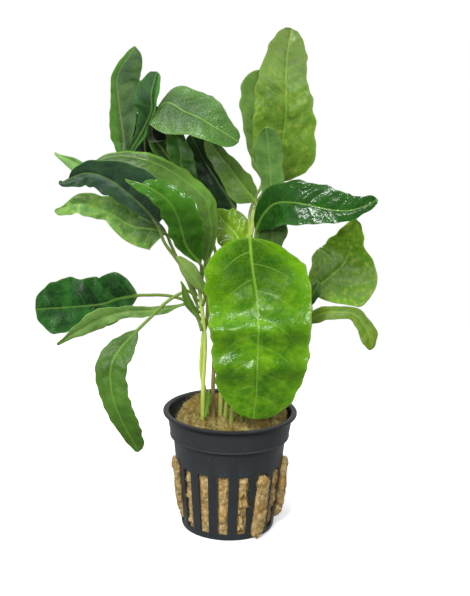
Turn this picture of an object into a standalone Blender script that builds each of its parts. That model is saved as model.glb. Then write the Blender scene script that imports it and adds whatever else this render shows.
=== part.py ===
"""Potted lake cress in metres, Z up: a slotted net pot with a rockwool plug, eight stems
and their leaves. The pot stands on z = 0 with its axis on Z, and the viewer is on the -Y side."""
import math

import bmesh
import bpy
from mathutils import Vector

MM = 0.001

# Pot, in millimetres
POT_HEIGHT = 50.0
LIP_RADIUS = 27.5
LIP_HEIGHT = 1.8
COLLAR_TOP_RADIUS = 25.7
COLLAR_FOOT_RADIUS = 24.2
COLLAR_FOOT_Z = 39.4
BODY_TOP_RADIUS = 23.0
BODY_TOP_Z = 38.4
BASE_RADIUS = 19.2
BASE_ROUND = 1.0
WALL = 0.9
SEGMENTS = 48

SLOT_COUNT = 16
SLOT_TURN = 16.9
SLOT_FOOT_Z = 2.8
SLOT_TOP_Z = 28.6
SLOT_FOOT_WIDTH = 3.9
SLOT_TOP_WIDTH = 4.7
BASE_SLOT_COUNT = 8
BASE_SLOT = (7.0, 15.0, 3.0)

# Rockwool plug
GAP = 0.35
WOOL_CROWN_Z = 48.4
WOOL_EDGE_Z = 46.8
HOLE_FOOT_Z = 37.6
STRIP_GAP = 0.4
STRIP_INNER_RADIUS = 14.0
STRIP_DEPTH = 0.4
BULGES = {1: 2.8, 3: 4.2, 4: 4.6, 12: 2.0, 11: 2.4}

# Stems: foot radius, tip radius, and the route from inside the wool to the tip
STEM_FOOT_Z = 38.0
STEM_RINGS = 12
STEMS = {
    "left": (0.95, 0.75, [(-11, -9), (-11, -9, 49), (-11, -9, 63), (-10.5, -9, 80),
                          (-12, -8.5, 94), (-13, -8, 102), (-12, -8, 108)]),
    "left_back": (0.9, 0.7, [(-9, -5), (-9, -5, 48), (-10.5, -4, 67), (-10, -3, 84), (-10, -3, 101),
                             (-10, -2, 112), (-9, 2, 122), (-12, 8, 133), (-16, 12, 139)]),
    "tan": (0.95, 0.7, [(-6.5, -8), (-6.5, -8, 47), (-7, -7, 58), (-7, -6, 68), (-6.5, -4, 85),
                        (-5, 0, 100), (-6, 4, 108)]),
    "pale": (1.0, 0.75, [(-4, -5), (-4, -5, 46), (-3.5, -4, 64), (-1.5, -3, 89), (2, -3, 111),
                         (5.5, -2, 121), (8, 2, 134)]),
    "centre": (0.9, 0.7, [(-2, -9.5), (-2, -9.5, 48), (-0.5, -9, 65), (2.5, -8, 90),
                          (5, -8, 113), (7, -6.5, 126), (8.5, -5, 132)]),
    "front": (1.1, 0.8, [(0.5, -13.5), (0.5, -13.5, 48), (2, -14, 63), (4.5, -15, 86),
                         (6, -15, 108), (7, -15, 121)]),
    "right": (0.95, 0.75, [(3, -7.5), (3, -7.5, 46), (5, -7, 58), (12, -4, 75), (21, -1, 86.5),
                           (25, 0, 91)]),
    "front_right": (0.85, 0.7, [(4.5, -12), (4.5, -12, 48), (6, -11, 62), (9, -9, 82),
                                (13, -8, 103), (14.5, -8, 112)]),
}

# Leaves. "on" is the stem and the height where the stalk leaves it, "tip" where the stalk goes on
# from the stem's tip. "face" turns the upper side, "left" and "right" are half widths at even
# steps of the blade, and "fold" lifts the two halves, in degrees.
BLADE_THICKNESS = 0.8
RIB_DROP = 0.3
STALK_RADIUS = 0.65
TIP_GAP = 0.6
TIP_RADIUS = 0.35
LEAVES = {
    "front_big": dict(
        on=("front", "tip"), stalk=[(6.7, -16.8, 125)],
        midrib=[(6, -20, 125.5), (7, -26, 117), (9, -29, 106), (10, -31, 94), (10, -31, 80),
                (10, -29, 66), (9, -26, 55)],
        face=[(0, 0.1, 1), (0, -1, 0.2), (0, -1, 0), (0, -1, -0.1)],
        left=[20, 21, 20, 19.5, 16], right=[18.5, 19, 18.5, 17, 15], blunt=1.0, fold=(-6, -6)),
    "right_glossy": dict(
        on=("front", 115), stalk=[(8.2, -12.5, 121)],
        midrib=[(8.5, -12, 127), (11, -14, 134), (16, -17, 139), (26, -25, 140), (40, -31, 139),
                (47, -33, 141), (52, -34, 144)],
        face=[(-0.6, -0.8, 0.3), (0, -0.75, 0.65), (0, -0.75, 0.65)],
        left=[5, 9, 10, 8.5, 6], right=[9, 11, 10, 7, 4], fold=(4, 4)),
    "right_narrow": dict(
        on=("front_right", "tip"), stalk=[],
        midrib=[(15, -7, 116), (15, -6, 124), (14, -7, 139), (13, -9, 153), (11, -13, 167)],
        face=[(0, -1, 0.1), (0, -1, 0.05)],
        left=[6.5, 4.5, 3.5, 4.5, 5.5], right=[5.5, 5, 4.5, 5, 5.5], fold=(4, 4)),
    "right_tall": dict(
        on=("pale", "tip"), stalk=[(10.5, 6, 138)],
        midrib=[(14, 9.5, 143), (17.5, 6.5, 156), (19, 5, 169), (18.5, 5, 182), (19, 8, 194),
                (20.5, 13, 203)],
        face=[(0.15, -1, 0), (0.1, -1, 0), (0, -1, 0.2)],
        left=[10.5, 12.5, 12.5, 11, 8], right=[13.5, 12.5, 10.5, 8.5, 7.5], fold=(6, 6)),
    "right_behind": dict(
        on=("pale", 124), stalk=[(6, 7, 130), (8, 17, 135)],
        midrib=[(11, 26, 141), (8, 28, 157), (7, 27, 171), (9, 23, 186)],
        face=[(-0.2, -1, 0), (-0.1, -1, 0)],
        left=[3.5, 4.5, 5, 6, 6.5], right=[3.5, 5.5, 7.5, 7.5, 5.5], fold=(12, 12)),
    "centre_olive": dict(
        on=("centre", "tip"), stalk=[],
        midrib=[(8, -3, 137), (4, 1, 141), (-2, 6, 148), (-9, 10, 156), (-12, 12, 161)],
        face=[(-0.5, -0.8, 0.3), (-0.4, -0.8, 0.4)],
        left=[6.5, 6.5, 5.5, 4.5, 3.5], right=[5.5, 4.5, 4, 3.5, 3], fold=(8, 14)),
    "centre_dark": dict(
        on=("tan", "tip"), stalk=[(-7.5, 8, 114), (-8.5, 14, 119), (-4, 19, 124)],
        midrib=[(0, 20, 129), (-6, 25, 138), (-13, 27, 148), (-19, 28, 159)],
        face=[(-0.3, -1, 0.2), (-0.3, -1, 0.2)],
        left=[8, 10, 8.5, 6.5, 5], right=[4, 7.5, 8, 8, 6], fold=(10, 10)),
    "centre_yellow": dict(
        on=("pale", 106), stalk=[(2.5, 2, 108), (5, 7, 111)],
        midrib=[(4, 9, 115), (2, 10, 119), (-2, 11, 124), (-6, 12, 128), (-7, 13, 131)],
        face=[(0.1, -1, 0.1), (0, -1, 0.2)],
        left=[5, 8, 7.5, 5.5, 4], right=[4.5, 7, 7.5, 7, 5.5], fold=(8, 8)),
    "top_bent": dict(
        on=("left_back", "tip"), stalk=[],
        midrib=[(-21, 14, 144), (-28, 14.5, 152), (-33, 12, 159), (-34, 8, 164), (-32, 4, 169),
                (-27, 0, 174), (-20, -4, 171), (-14, -7, 169), (-8, -9, 166), (1, -10, 161)],
        face=[(-0.3, -1, 0.2), (-0.5, -0.6, 0.5), (-0.8, 0, 0.6), (-0.1, -0.5, 0.8),
              (0.15, -0.65, 0.75), (0.3, -0.6, 0.7)],
        left=[4, 4, 4, 5, 10, 14, 11.5, 8], right=[4, 4, 4, 7, 14, 14, 10.5, 8], fold=(0, 0)),
    "centre_upright": dict(
        on=("left_back", 129), stalk=[(-11, 7, 135)],
        midrib=[(-14, 9, 139), (-18, 9, 144), (-22, 9, 149), (-22, 9, 153), (-24, 10, 161),
                (-25, 12, 166)],
        face=[(0.2, -1, 0.2), (0.1, -1, 0.2)],
        left=[2, 3.5, 5, 5, 4], right=[2.5, 5, 5.5, 3.5, 3], fold=(8, 8)),
    "tall_left": dict(
        on=("left_back", 119), stalk=[(-15, 8, 124), (-28, 18, 134), (-40, 24, 142)],
        midrib=[(-46, 24, 148), (-46, 24, 156), (-48, 23, 172), (-48, 21, 183), (-41, 18, 194)],
        face=[(0.3, -1, 0), (0.3, -1, 0.1)],
        left=[5, 5, 3.5, 2.5, 2], right=[3.5, 6.5, 9, 9.5, 8], fold=(-25, 8)),
    "tall_left_front": dict(
        on=("left_back", 125), stalk=[(-18, 8, 132), (-32, 12, 141), (-41, 14, 146)],
        midrib=[(-44, 14, 150), (-38, 12, 161), (-34, 10, 170), (-34, 10, 177), (-32, 12, 185)],
        face=[(-0.2, -1, 0), (-0.2, -1, 0.1)],
        left=[1.5, 2.5, 4.5, 7, 6], right=[2, 2.5, 2, 2.5, 3.5], fold=(10, 15)),
    "left_shadow": dict(
        on=("left_back", 133), stalk=[(-12, 14, 135), (-20, 22, 138)],
        midrib=[(-36, 30, 142), (-38, 32, 151), (-38, 32, 162), (-35, 30, 171)],
        face=[(0, -1, 0), (0, -1, 0)],
        left=[6, 8, 7.5, 5.5, 4], right=[7, 10.5, 12, 10.5, 7], fold=(10, 5)),
    "left_arch": dict(
        on=("left", "tip"), stalk=[],
        midrib=[(-11, -5.5, 113), (-9, -4, 123), (-11, -4, 136), (-18, -2, 143), (-30, 0, 150),
                (-44, 2, 153), (-56, 2, 150)],
        face=[(0.6, -0.8, 0), (0.6, -0.7, 0.4), (0.1, -0.6, 0.8), (0, -0.6, 0.8)],
        left=[5, 6, 7, 7, 5], right=[3.5, 4.5, 4.5, 4, 3], fold=(0, 0)),
    "left_dark": dict(
        on=("left", 100), stalk=[(-18, -9, 108), (-22, -9.5, 114), (-27, -10, 121)],
        midrib=[(-30, -10, 128), (-36, -12, 136), (-47, -13, 145), (-57, -14, 148),
                (-67, -16, 144)],
        face=[(0.1, -1, -0.1), (0, -1, -0.2), (0, -1, 0.1)],
        left=[3, 5, 6, 5.5, 4.5], right=[10, 15, 12.5, 7.5, 3.5], fold=(10, 25)),
    "left_front": dict(
        on=("left", 106), stalk=[(-12.5, -11.5, 111)],
        midrib=[(-13, -14, 114), (-18, -17, 121), (-20, -20, 128), (-22, -23, 135), (-26, -25, 141),
                (-33, -27, 146), (-41, -25, 148)],
        face=[(0.2, -1, 0.1), (0, -0.9, 0.4), (-0.1, -0.6, 0.8)],
        left=[3, 5, 5.5, 5, 3.5], right=[7, 8.5, 8.5, 6.5, 2.5], fold=(5, 10)),
    "left_tip_behind": dict(
        on=("left_back", 112), stalk=[(-16, 5, 117), (-30, 14, 127)],
        midrib=[(-45, 22, 136), (-56, 24, 141), (-66, 26, 146), (-75, 28, 150)],
        face=[(0, -1, 0.4), (0, -1, 0.4)],
        left=[2.5, 3.5, 3.5, 4, 2.5], right=[2.5, 3, 2.5, 2, 1], fold=(15, 15)),
    "left_spotted": dict(
        on=("left", 95), stalk=[(-18, -6, 105), (-22, -4.5, 113), (-25, -3, 119)],
        midrib=[(-27, -2.5, 123), (-32, -2, 124.5), (-40, -4, 126), (-50, -6, 132), (-60, -7, 135),
                (-70, -8, 132)],
        face=[(0, -0.8, 0.6), (0, -0.9, 0.4)],
        left=[9.5, 7, 3.5, 5, 4.5], right=[5, 6.5, 6, 5, 2.5], fold=(10, 15)),
    "left_low_dark": dict(
        on=("left", 93), stalk=[(-18, -4, 96), (-24, -1, 97.2), (-29, 3, 96.7), (-34, 6, 95.8)],
        midrib=[(-39, 8, 95), (-47, 10, 93), (-54, 12, 90), (-66, 14, 88), (-82, 16, 86)],
        face=[(0, -1, 0.4), (0, -1, 0.3)],
        left=[8, 9.5, 10, 10, 10], right=[10.5, 11, 11.5, 12, 10.5], fold=(6, 10)),
    "left_low_twist": dict(
        on=("left", 90), stalk=[(-15.5, -6, 94)],
        midrib=[(-19, -4, 95), (-27, -5, 93), (-37, -6, 92), (-42, -7, 92), (-50, -8, 90),
                (-60, -10, 85), (-69, -12, 79)],
        face=[(0, -0.7, 0.8), (0, -1, -0.1), (0, -1, -0.4)],
        left=[2, 2.5, 3, 3.5, 2], right=[1.5, 2, 3, 4.5, 2.5], fold=(8, 8)),
    "left_hanging": dict(
        on=("left", 98), stalk=[(-17, -11, 102), (-21, -12, 101), (-26, -14, 98), (-32, -15, 92)],
        midrib=[(-37, -16, 87), (-42, -18, 82), (-46, -20, 76), (-47, -21, 70), (-46, -22, 62),
                (-43, -22, 53), (-36, -18, 37)],
        face=[(-0.2, -1, 0.2), (0, -1, 0.1)],
        left=[6, 6.5, 6.5, 6, 5.5], right=[4.5, 6, 5, 4, 3], fold=(2, 2)),
    "low_small": dict(
        on=("left", 86), stalk=[],
        midrib=[(-13.5, -11, 91), (-17, -14, 98), (-20, -15.5, 107)],
        face=[(0.5, -0.8, 0.2), (0.5, -0.8, 0.2)],
        left=[1, 1.5, 2, 2, 1], right=[1.5, 2, 2, 1.5, 1], fold=(10, 10)),
    "left_pale": dict(
        on=("left", 96), stalk=[],
        midrib=[(-11, -12.5, 101), (-14, -15, 107), (-18, -16.5, 112), (-22, -16.5, 117)],
        face=[(-0.3, 1, -0.2), (-0.3, 1, -0.2)],
        left=[2.5, 3, 3.5, 3.5, 2.5], right=[1.5, 2.5, 2.5, 2.5, 1.5], fold=(8, 8)),
    "right_folded": dict(
        on=("right", "tip"), stalk=[(28, 1, 95)],
        midrib=[(31, 1, 100), (38, 4, 105), (44.5, 6, 111), (47, 5, 119), (48, 0, 130)],
        face=[(-0.2, -1, 0.3), (-0.2, -1, 0)],
        left=[8, 12, 11, 9.5, 6], right=[12, 18, 15, 7.5, 4.5], fold=(8, 8)),
    "right_droop": dict(
        on=("right", 82), stalk=[(24, -4, 86)],
        midrib=[(29, -4, 89), (36, -6, 93), (41, -7, 94), (47, -8, 94), (51, -9, 91),
                (54, -11, 86), (55, -12, 80)],
        face=[(0.1, -0.6, 0.8), (0.2, -0.8, 0.5), (0.5, -0.9, 0.2)],
        left=[3, 2.5, 2.5, 3.2, 4.2], right=[4, 3.5, 3, 3.7, 4.3], fold=(6, 6)),
    "right_sprout": dict(
        on=("right", 86), stalk=[(23, -4, 91)],
        midrib=[(28, -5, 95), (31, -7, 100), (34, -7, 106)],
        face=[(0, -1, 0.2), (0, -1, 0.2)],
        left=[2, 3, 3, 3.5, 2.5], right=[1.5, 2.5, 2.5, 2.5, 2], fold=(8, 8)),
    "base_sprout": dict(
        on=("left", 49.5), stalk=[],
        midrib=[(-9.5, -11.5, 52), (-9, -12, 57), (-8.5, -12, 62)],
        face=[(0.2, -1, 0), (0.2, -1, 0)],
        left=[0.7, 1, 1, 1, 0.8], right=[0.7, 1, 1.3, 1.2, 0.7], fold=(8, 8)),
}
LEAF_SIDES = 8
BLADE_STEPS = (0.0, 0.1, 0.24, 0.38, 0.52, 0.66, 0.8, 0.92, 1.0)
STALK_STEP = 8.0

# Colours are linear, with a roughness
FINISHES = {
    "pot": ((0.028, 0.033, 0.042), 0.42),
    "rockwool": ((0.26, 0.2, 0.075), 0.95),
    "stem": ((0.42, 0.5, 0.13), 0.45),
    "leaf": ((0.07, 0.2, 0.02), 0.38),
}


# Scene and material helpers

def clear_scene():
    for old in list(bpy.data.objects):
        bpy.data.objects.remove(old, do_unlink=True)


def make_collection(name):
    made = bpy.data.collections.new(name)
    bpy.context.scene.collection.children.link(made)
    return made


def finish_with(piece, kind):
    """give a piece its own material in one of the plant's finishes"""
    colour, roughness = FINISHES[kind]
    material = bpy.data.materials.new(piece.name + "_" + kind)
    material.use_nodes = True
    shader = material.node_tree.nodes["Principled BSDF"]
    shader.inputs["Base Color"].default_value = (*colour, 1.0)
    shader.inputs["Roughness"].default_value = roughness
    shader.inputs["Metallic"].default_value = 0.0
    piece.data.materials.clear()
    piece.data.materials.append(material)


def add_mesh(name, mesh, collection):
    piece = bpy.data.objects.new(name, mesh)
    collection.objects.link(piece)
    return piece


def from_bmesh(name, bm, collection):
    mesh = bpy.data.meshes.new(name)
    bm.to_mesh(mesh)
    bm.free()
    return add_mesh(name, mesh, collection)


def bake_modifiers(piece):
    """replace a piece's mesh by what its modifiers make of it"""
    graph = bpy.context.evaluated_depsgraph_get()
    made = bpy.data.meshes.new_from_object(piece.evaluated_get(graph))
    piece.modifiers.clear()
    piece.data = made


# Shape helpers

def smooth_value(values, t):
    """value at t, 0 to 1, on a smooth curve through evenly spaced numbers or points"""
    spans = len(values) - 1
    i = min(int(t * spans), spans - 1)
    u = t * spans - i
    a, b = values[max(i - 1, 0)], values[i]
    c, d = values[i + 1], values[min(i + 2, spans)]
    return 0.5 * (2 * b + (c - a) * u + (2 * a - 5 * b + 4 * c - d) * u ** 2
                  + (3 * b - a - 3 * c + d) * u ** 3)


class Route:
    """a smooth path through points, measured along its length"""

    def __init__(self, points, fine=16):
        self.points = [Vector(p) for p in points]
        steps = (len(self.points) - 1) * fine
        self.samples = [smooth_value(self.points, k / steps) for k in range(steps + 1)]
        self.marks = [0.0]
        for a, b in zip(self.samples, self.samples[1:]):
            self.marks.append(self.marks[-1] + (b - a).length)
        self.length = self.marks[-1]
        self.fine = fine

    def mark_of(self, index):
        """distance along the route to one of its given points"""
        return self.marks[index * self.fine]

    def at(self, distance):
        distance = min(max(distance, 0.0), self.length)
        for k in range(1, len(self.marks)):
            if self.marks[k] >= distance:
                break
        span = self.marks[k] - self.marks[k - 1]
        part = (distance - self.marks[k - 1]) / span if span else 0.0
        return self.samples[k - 1].lerp(self.samples[k], part)

    def heading(self, distance):
        step = self.length * 0.01
        return (self.at(distance + step) - self.at(distance - step)).normalized()


def turn_profile(name, profile, collection):
    """solid of revolution from (radius, z) points in mm, run up the inside and down the outside"""
    mesh = bpy.data.meshes.new(name)
    points = [(r * MM, 0.0, z * MM) for r, z in profile]
    mesh.from_pydata(points, [(k, k + 1) for k in range(len(points) - 1)], [])
    piece = add_mesh(name, mesh, collection)
    screw = piece.modifiers.new("turn", "SCREW")
    screw.axis = "Z"
    screw.angle = math.tau
    screw.steps = SEGMENTS
    screw.render_steps = SEGMENTS
    screw.use_merge_vertices = True
    screw.merge_threshold = 0.00001
    screw.use_normal_calculate = True
    bake_modifiers(piece)
    return piece


def boolean(piece, others, operation):
    """join or cut a piece with others, one exact Boolean for each"""
    for k, other in enumerate(others):
        modifier = piece.modifiers.new(f"{operation.lower()}_{k}", "BOOLEAN")
        modifier.object = other
        modifier.operation = operation
        modifier.solver = "EXACT"
    bake_modifiers(piece)


def wedge(name, angle, inner, foot, top, collection):
    """box across a round wall at an angle from -Y, in mm; foot and top are (z, width, reach)"""
    bm = bmesh.new()
    bmesh.ops.create_cube(bm, size=2.0)
    out = Vector((math.sin(angle), -math.cos(angle), 0.0))
    side = Vector((math.cos(angle), math.sin(angle), 0.0))
    for vert in bm.verts:
        z, width, reach = foot if vert.co.z < 0 else top
        place = out * (reach if vert.co.x > 0 else inner) + side * (vert.co.y * width / 2)
        place.z = z
        vert.co = place * MM
    return from_bmesh(name, bm, collection)


def rod(name, x, y, foot_z, top_z, radius, collection):
    bm = bmesh.new()
    bmesh.ops.create_cone(bm, cap_ends=True, segments=8, radius1=radius * MM, radius2=radius * MM,
                          depth=(top_z - foot_z) * MM)
    bmesh.ops.translate(bm, verts=bm.verts, vec=Vector((x, y, (foot_z + top_z) / 2)) * MM)
    return from_bmesh(name, bm, collection)


def slot_angle(k):
    return math.radians(SLOT_TURN + 360.0 * k / SLOT_COUNT)


def wall_radius(z):
    """outer radius of the slotted wall at a height"""
    part = (z - BASE_ROUND) / (BODY_TOP_Z - BASE_ROUND)
    return BASE_RADIUS + (BODY_TOP_RADIUS - BASE_RADIUS) * part


# The pieces

def make_pot(collection, cutters):
    lip_foot = POT_HEIGHT - LIP_HEIGHT
    profile = [
        (0.0, WALL),
        (BASE_RADIUS - WALL, WALL + 0.1),
        (BODY_TOP_RADIUS - WALL, BODY_TOP_Z + 0.5),
        (COLLAR_FOOT_RADIUS - WALL, COLLAR_FOOT_Z + 0.5),
        (COLLAR_TOP_RADIUS - WALL, lip_foot + 0.6),
        (COLLAR_TOP_RADIUS, POT_HEIGHT - 0.4),
        (LIP_RADIUS - 0.9, POT_HEIGHT),
        (LIP_RADIUS, POT_HEIGHT - 0.9),
        (LIP_RADIUS, lip_foot + 0.5),
        (LIP_RADIUS - 0.9, lip_foot),
        (COLLAR_TOP_RADIUS, lip_foot + 0.1),
        (COLLAR_FOOT_RADIUS, COLLAR_FOOT_Z),
        (BODY_TOP_RADIUS, BODY_TOP_Z),
        (BASE_RADIUS, BASE_ROUND),
        (BASE_RADIUS - BASE_ROUND, 0.0),
        (0.0, 0.0),
    ]
    pot = turn_profile("pot", profile, collection)
    slots = []
    for k in range(SLOT_COUNT):
        reach = BODY_TOP_RADIUS + 3
        slots.append(wedge(f"slot_{k}", slot_angle(k), BASE_RADIUS - 5,
                           (SLOT_FOOT_Z, SLOT_FOOT_WIDTH, reach),
                           (SLOT_TOP_Z, SLOT_TOP_WIDTH, reach), cutters))
    inner, outer, width = BASE_SLOT
    for k in range(BASE_SLOT_COUNT):
        slots.append(wedge(f"base_slot_{k}", math.tau * k / BASE_SLOT_COUNT, inner,
                           (-1.0, width, outer), (WALL + 1.0, width, outer), cutters))
    boolean(pot, slots, "DIFFERENCE")
    finish_with(pot, "pot")


def make_rockwool(collection, cutters):
    profile = [
        (0.0, WOOL_CROWN_Z),
        (12.0, WOOL_CROWN_Z - 0.2),
        (20.5, WOOL_CROWN_Z - 1.0),
        (COLLAR_TOP_RADIUS - WALL - 1.4, WOOL_EDGE_Z),
        (COLLAR_FOOT_RADIUS - WALL - GAP, COLLAR_FOOT_Z + 1.2),
        (BODY_TOP_RADIUS - WALL - GAP, BODY_TOP_Z + 0.2),
        (BASE_RADIUS - WALL - GAP, WALL + GAP + 0.2),
        (BASE_RADIUS - WALL - 2.0, WALL + GAP),
        (0.0, WALL + GAP),
    ]
    wool = turn_profile("rockwool", profile, collection)
    strips = []
    for k in range(SLOT_COUNT):
        foot_z, top_z = SLOT_FOOT_Z + STRIP_GAP, SLOT_TOP_Z - STRIP_GAP
        top_reach = wall_radius(top_z) - STRIP_DEPTH + BULGES.get(k, 0.0)
        foot_reach = top_reach if k in BULGES else wall_radius(foot_z) - STRIP_DEPTH
        strips.append(wedge(f"strip_{k}", slot_angle(k), STRIP_INNER_RADIUS,
                            (foot_z, SLOT_FOOT_WIDTH - 2 * STRIP_GAP, foot_reach),
                            (top_z, SLOT_TOP_WIDTH - 2 * STRIP_GAP, top_reach), cutters))
    boolean(wool, strips, "UNION")
    holes = []
    for name, (foot_radius, _, points) in STEMS.items():
        x, y = points[0]
        holes.append(rod(f"hole_{name}", x, y, HOLE_FOOT_Z, POT_HEIGHT + 5, foot_radius + GAP,
                         cutters))
    boolean(wool, holes, "DIFFERENCE")
    finish_with(wool, "rockwool")


def stem_route(name):
    points = STEMS[name][2]
    return Route([(*points[0], STEM_FOOT_Z)] + points[1:])


def make_stem(name, collection):
    foot_radius, tip_radius, _ = STEMS[name]
    route = stem_route(name)
    curve = bpy.data.curves.new("stem_" + name, "CURVE")
    curve.dimensions = "3D"
    curve.bevel_depth = MM
    curve.bevel_resolution = 2
    curve.use_fill_caps = True
    line = curve.splines.new("POLY")
    line.points.add(STEM_RINGS - 1)
    for k, point in enumerate(line.points):
        part = k / (STEM_RINGS - 1)
        point.co = (*(route.at(route.length * part) * MM), 1.0)
        point.radius = foot_radius + (tip_radius - foot_radius) * part
    pattern = bpy.data.objects.new("stem_curve_" + name, curve)
    collection.objects.link(pattern)
    graph = bpy.context.evaluated_depsgraph_get()
    mesh = bpy.data.meshes.new_from_object(pattern.evaluated_get(graph))
    bpy.data.objects.remove(pattern, do_unlink=True)
    bm = bmesh.new()
    bm.from_mesh(mesh)
    bmesh.ops.remove_doubles(bm, verts=bm.verts, dist=0.01 * MM)
    finish_with(from_bmesh("stem_" + name, bm, collection), "stem")


def stalk_start(leaf):
    """where a stalk leaves its stem: beside it at a height, or just past its tip"""
    name, height = leaf["on"]
    foot_radius, tip_radius, _ = STEMS[name]
    route = stem_route(name)
    if height == "tip":
        return route.at(route.length) + route.heading(route.length) * TIP_GAP
    low, high = 0.0, route.length
    while high - low > 0.01:
        middle = (low + high) / 2
        if route.at(middle).z < height:
            low = middle
        else:
            high = middle
    base = route.at(low)
    part = low / route.length
    radius = foot_radius + (tip_radius - foot_radius) * part
    along = route.heading(low)
    away = Vector((leaf["stalk"] + leaf["midrib"])[0]) - base
    away -= along * away.dot(along)
    return base + away.normalized() * (radius + GAP + STALK_RADIUS)


def half_width(widths, t, blunt=0.0):
    """half width of a blade side at t, from none at both ends: blunt at the tip, and at the base
    as blunt as it is told"""
    share = max(t, blunt)
    squares = smooth_value([0.0] + [w ** 2 for w in widths] + [0.0], t)
    cubes = smooth_value([0.0] + [w ** 3 for w in widths] + [0.0], t)
    return (1 - share) * max(squares, 0.0) ** (1 / 2) + share * max(cubes, 0.0) ** (1 / 3)


def mix_directions(directions, t):
    spans = len(directions) - 1
    i = min(int(t * spans), spans - 1)
    return Vector(directions[i]).lerp(Vector(directions[i + 1]), t * spans - i)


def leaf_ring(leaf, route, distance, blade_start):
    """points around one section, from the right edge over the underside"""
    t = max(0.0, (distance - blade_start) / (route.length - blade_start))
    centre = route.at(distance)
    along = route.heading(distance)
    face = mix_directions(leaf["face"], t)
    face = (face - along * face.dot(along)).normalized()
    side = along.cross(face)
    core = STALK_RADIUS if t < 1.0 else TIP_RADIUS
    ring = []
    for k in range(LEAF_SIDES):
        turn = math.tau * k / LEAF_SIDES
        right = math.cos(turn) >= 0
        width = half_width(leaf["right" if right else "left"], t, leaf.get("blunt", 0.0))
        flat = min(1.0, max(0.0, width - core) / 2.0)
        width = max(width, core)
        lift = math.radians(leaf["fold"][1 if right else 0]) * flat
        across = math.cos(turn) * width
        thick = core + (BLADE_THICKNESS / 2 - core) * flat
        drop = RIB_DROP * flat if math.sin(turn) > 0.9 else 0.0
        ring.append(centre + side * (across * math.cos(lift))
                    + face * (abs(across) * math.sin(lift) - thick * math.sin(turn) - drop))
    return ring


def make_leaf(name, collection):
    leaf = LEAVES[name]
    points = [stalk_start(leaf)] + leaf["stalk"] + leaf["midrib"]
    route = Route(points)
    blade_start = route.mark_of(1 + len(leaf["stalk"]))
    stalk_rings = max(1, round(blade_start / STALK_STEP))
    distances = [blade_start * k / stalk_rings for k in range(stalk_rings)]
    distances += [blade_start + (route.length - blade_start) * t for t in BLADE_STEPS]
    bm = bmesh.new()
    bmesh.ops.create_cone(bm, cap_ends=True, segments=LEAF_SIDES, radius1=1, radius2=1, depth=1)
    upright = [e for e in bm.edges if abs(e.verts[0].co.z - e.verts[1].co.z) > 0.5]
    bmesh.ops.subdivide_edges(bm, edges=upright, cuts=len(distances) - 2)
    rings = [leaf_ring(leaf, route, d, blade_start) for d in distances]
    for vert in bm.verts:
        level = round((vert.co.z + 0.5) * (len(distances) - 1))
        turn = round(math.atan2(vert.co.y, vert.co.x) / math.tau * LEAF_SIDES) % LEAF_SIDES
        vert.co = rings[level][turn] * MM
    finish_with(from_bmesh("leaf_" + name, bm, collection), "leaf")


def main():
    clear_scene()
    plant = make_collection("potted_lake_cress")
    cutters = make_collection("cutters")
    make_pot(plant, cutters)
    make_rockwool(plant, cutters)
    for name in STEMS:
        make_stem(name, plant)
    for name in LEAVES:
        make_leaf(name, plant)
    for cutter in cutters.objects:
        cutter.hide_render = True
        cutter.display_type = "WIRE"


main()
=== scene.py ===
# %% [markdown]
# # Potted lake cress
# A water plant in a small net pot. The solids give every place and size. This script dresses
# them: thin veined leaves, tapering stems, fibrous rockwool and a moulded plastic pot.

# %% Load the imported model
import math
import random
from bisect import bisect_left
from functools import partial

import bmesh
import bpy
from mathutils import Matrix, Vector, noise


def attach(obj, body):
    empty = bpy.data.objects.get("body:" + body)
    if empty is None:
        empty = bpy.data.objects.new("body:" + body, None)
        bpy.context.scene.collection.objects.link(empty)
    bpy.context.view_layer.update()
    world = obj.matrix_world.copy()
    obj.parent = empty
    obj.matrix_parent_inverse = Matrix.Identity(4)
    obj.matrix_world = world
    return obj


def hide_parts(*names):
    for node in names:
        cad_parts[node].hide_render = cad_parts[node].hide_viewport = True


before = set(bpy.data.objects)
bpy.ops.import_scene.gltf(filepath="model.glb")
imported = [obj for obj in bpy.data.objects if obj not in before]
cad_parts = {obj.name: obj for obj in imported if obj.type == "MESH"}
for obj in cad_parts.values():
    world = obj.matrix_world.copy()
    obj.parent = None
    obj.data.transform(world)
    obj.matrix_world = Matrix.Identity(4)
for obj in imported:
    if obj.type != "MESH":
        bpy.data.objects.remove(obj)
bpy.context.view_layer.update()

MM = 0.001

# %% [markdown]
# ## The camera
# The photograph looks down a little on the pot from about half a metre. The rim's ellipse gave
# the distance and the pitch, and the pot's lean in the frame gave the roll.

# %% Camera
CAMERA_PLACE = (0.0009, -0.480, 0.218)
CAMERA_PITCH = 14.15
CAMERA_ROLL = 1.4
FOCAL_PIXELS = 1234.0
FRAME_HEIGHT = 596
SENSOR_HEIGHT = 24.0

camera = bpy.data.objects.new("camera", bpy.data.cameras.new("camera"))
camera.data.sensor_fit = "VERTICAL"
camera.data.sensor_height = SENSOR_HEIGHT
camera.data.lens = FOCAL_PIXELS / FRAME_HEIGHT * SENSOR_HEIGHT
camera.matrix_world = (Matrix.Translation(CAMERA_PLACE)
                       @ Matrix.Rotation(math.radians(90 - CAMERA_PITCH), 4, "X")
                       @ Matrix.Rotation(math.radians(CAMERA_ROLL), 4, "Z"))
bpy.context.collection.objects.link(camera)
bpy.context.scene.camera = camera
print("camera lens, in mm:", round(camera.data.lens, 1))

# %% [markdown]
# ## Light and floor
# Product photographs of plants are taken on a white sheet in a room that is dark behind the
# camera, so the glossy leaves mirror no grey haze. Here the world is bright above and behind and
# dim in front, and it looks plain white itself. A broad sun from the upper left gives the form.
# The wet sparkle comes from five small lamps, so the sun and the sheet are lights and a backdrop
# only: neither is mirrored in the leaves.

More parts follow.
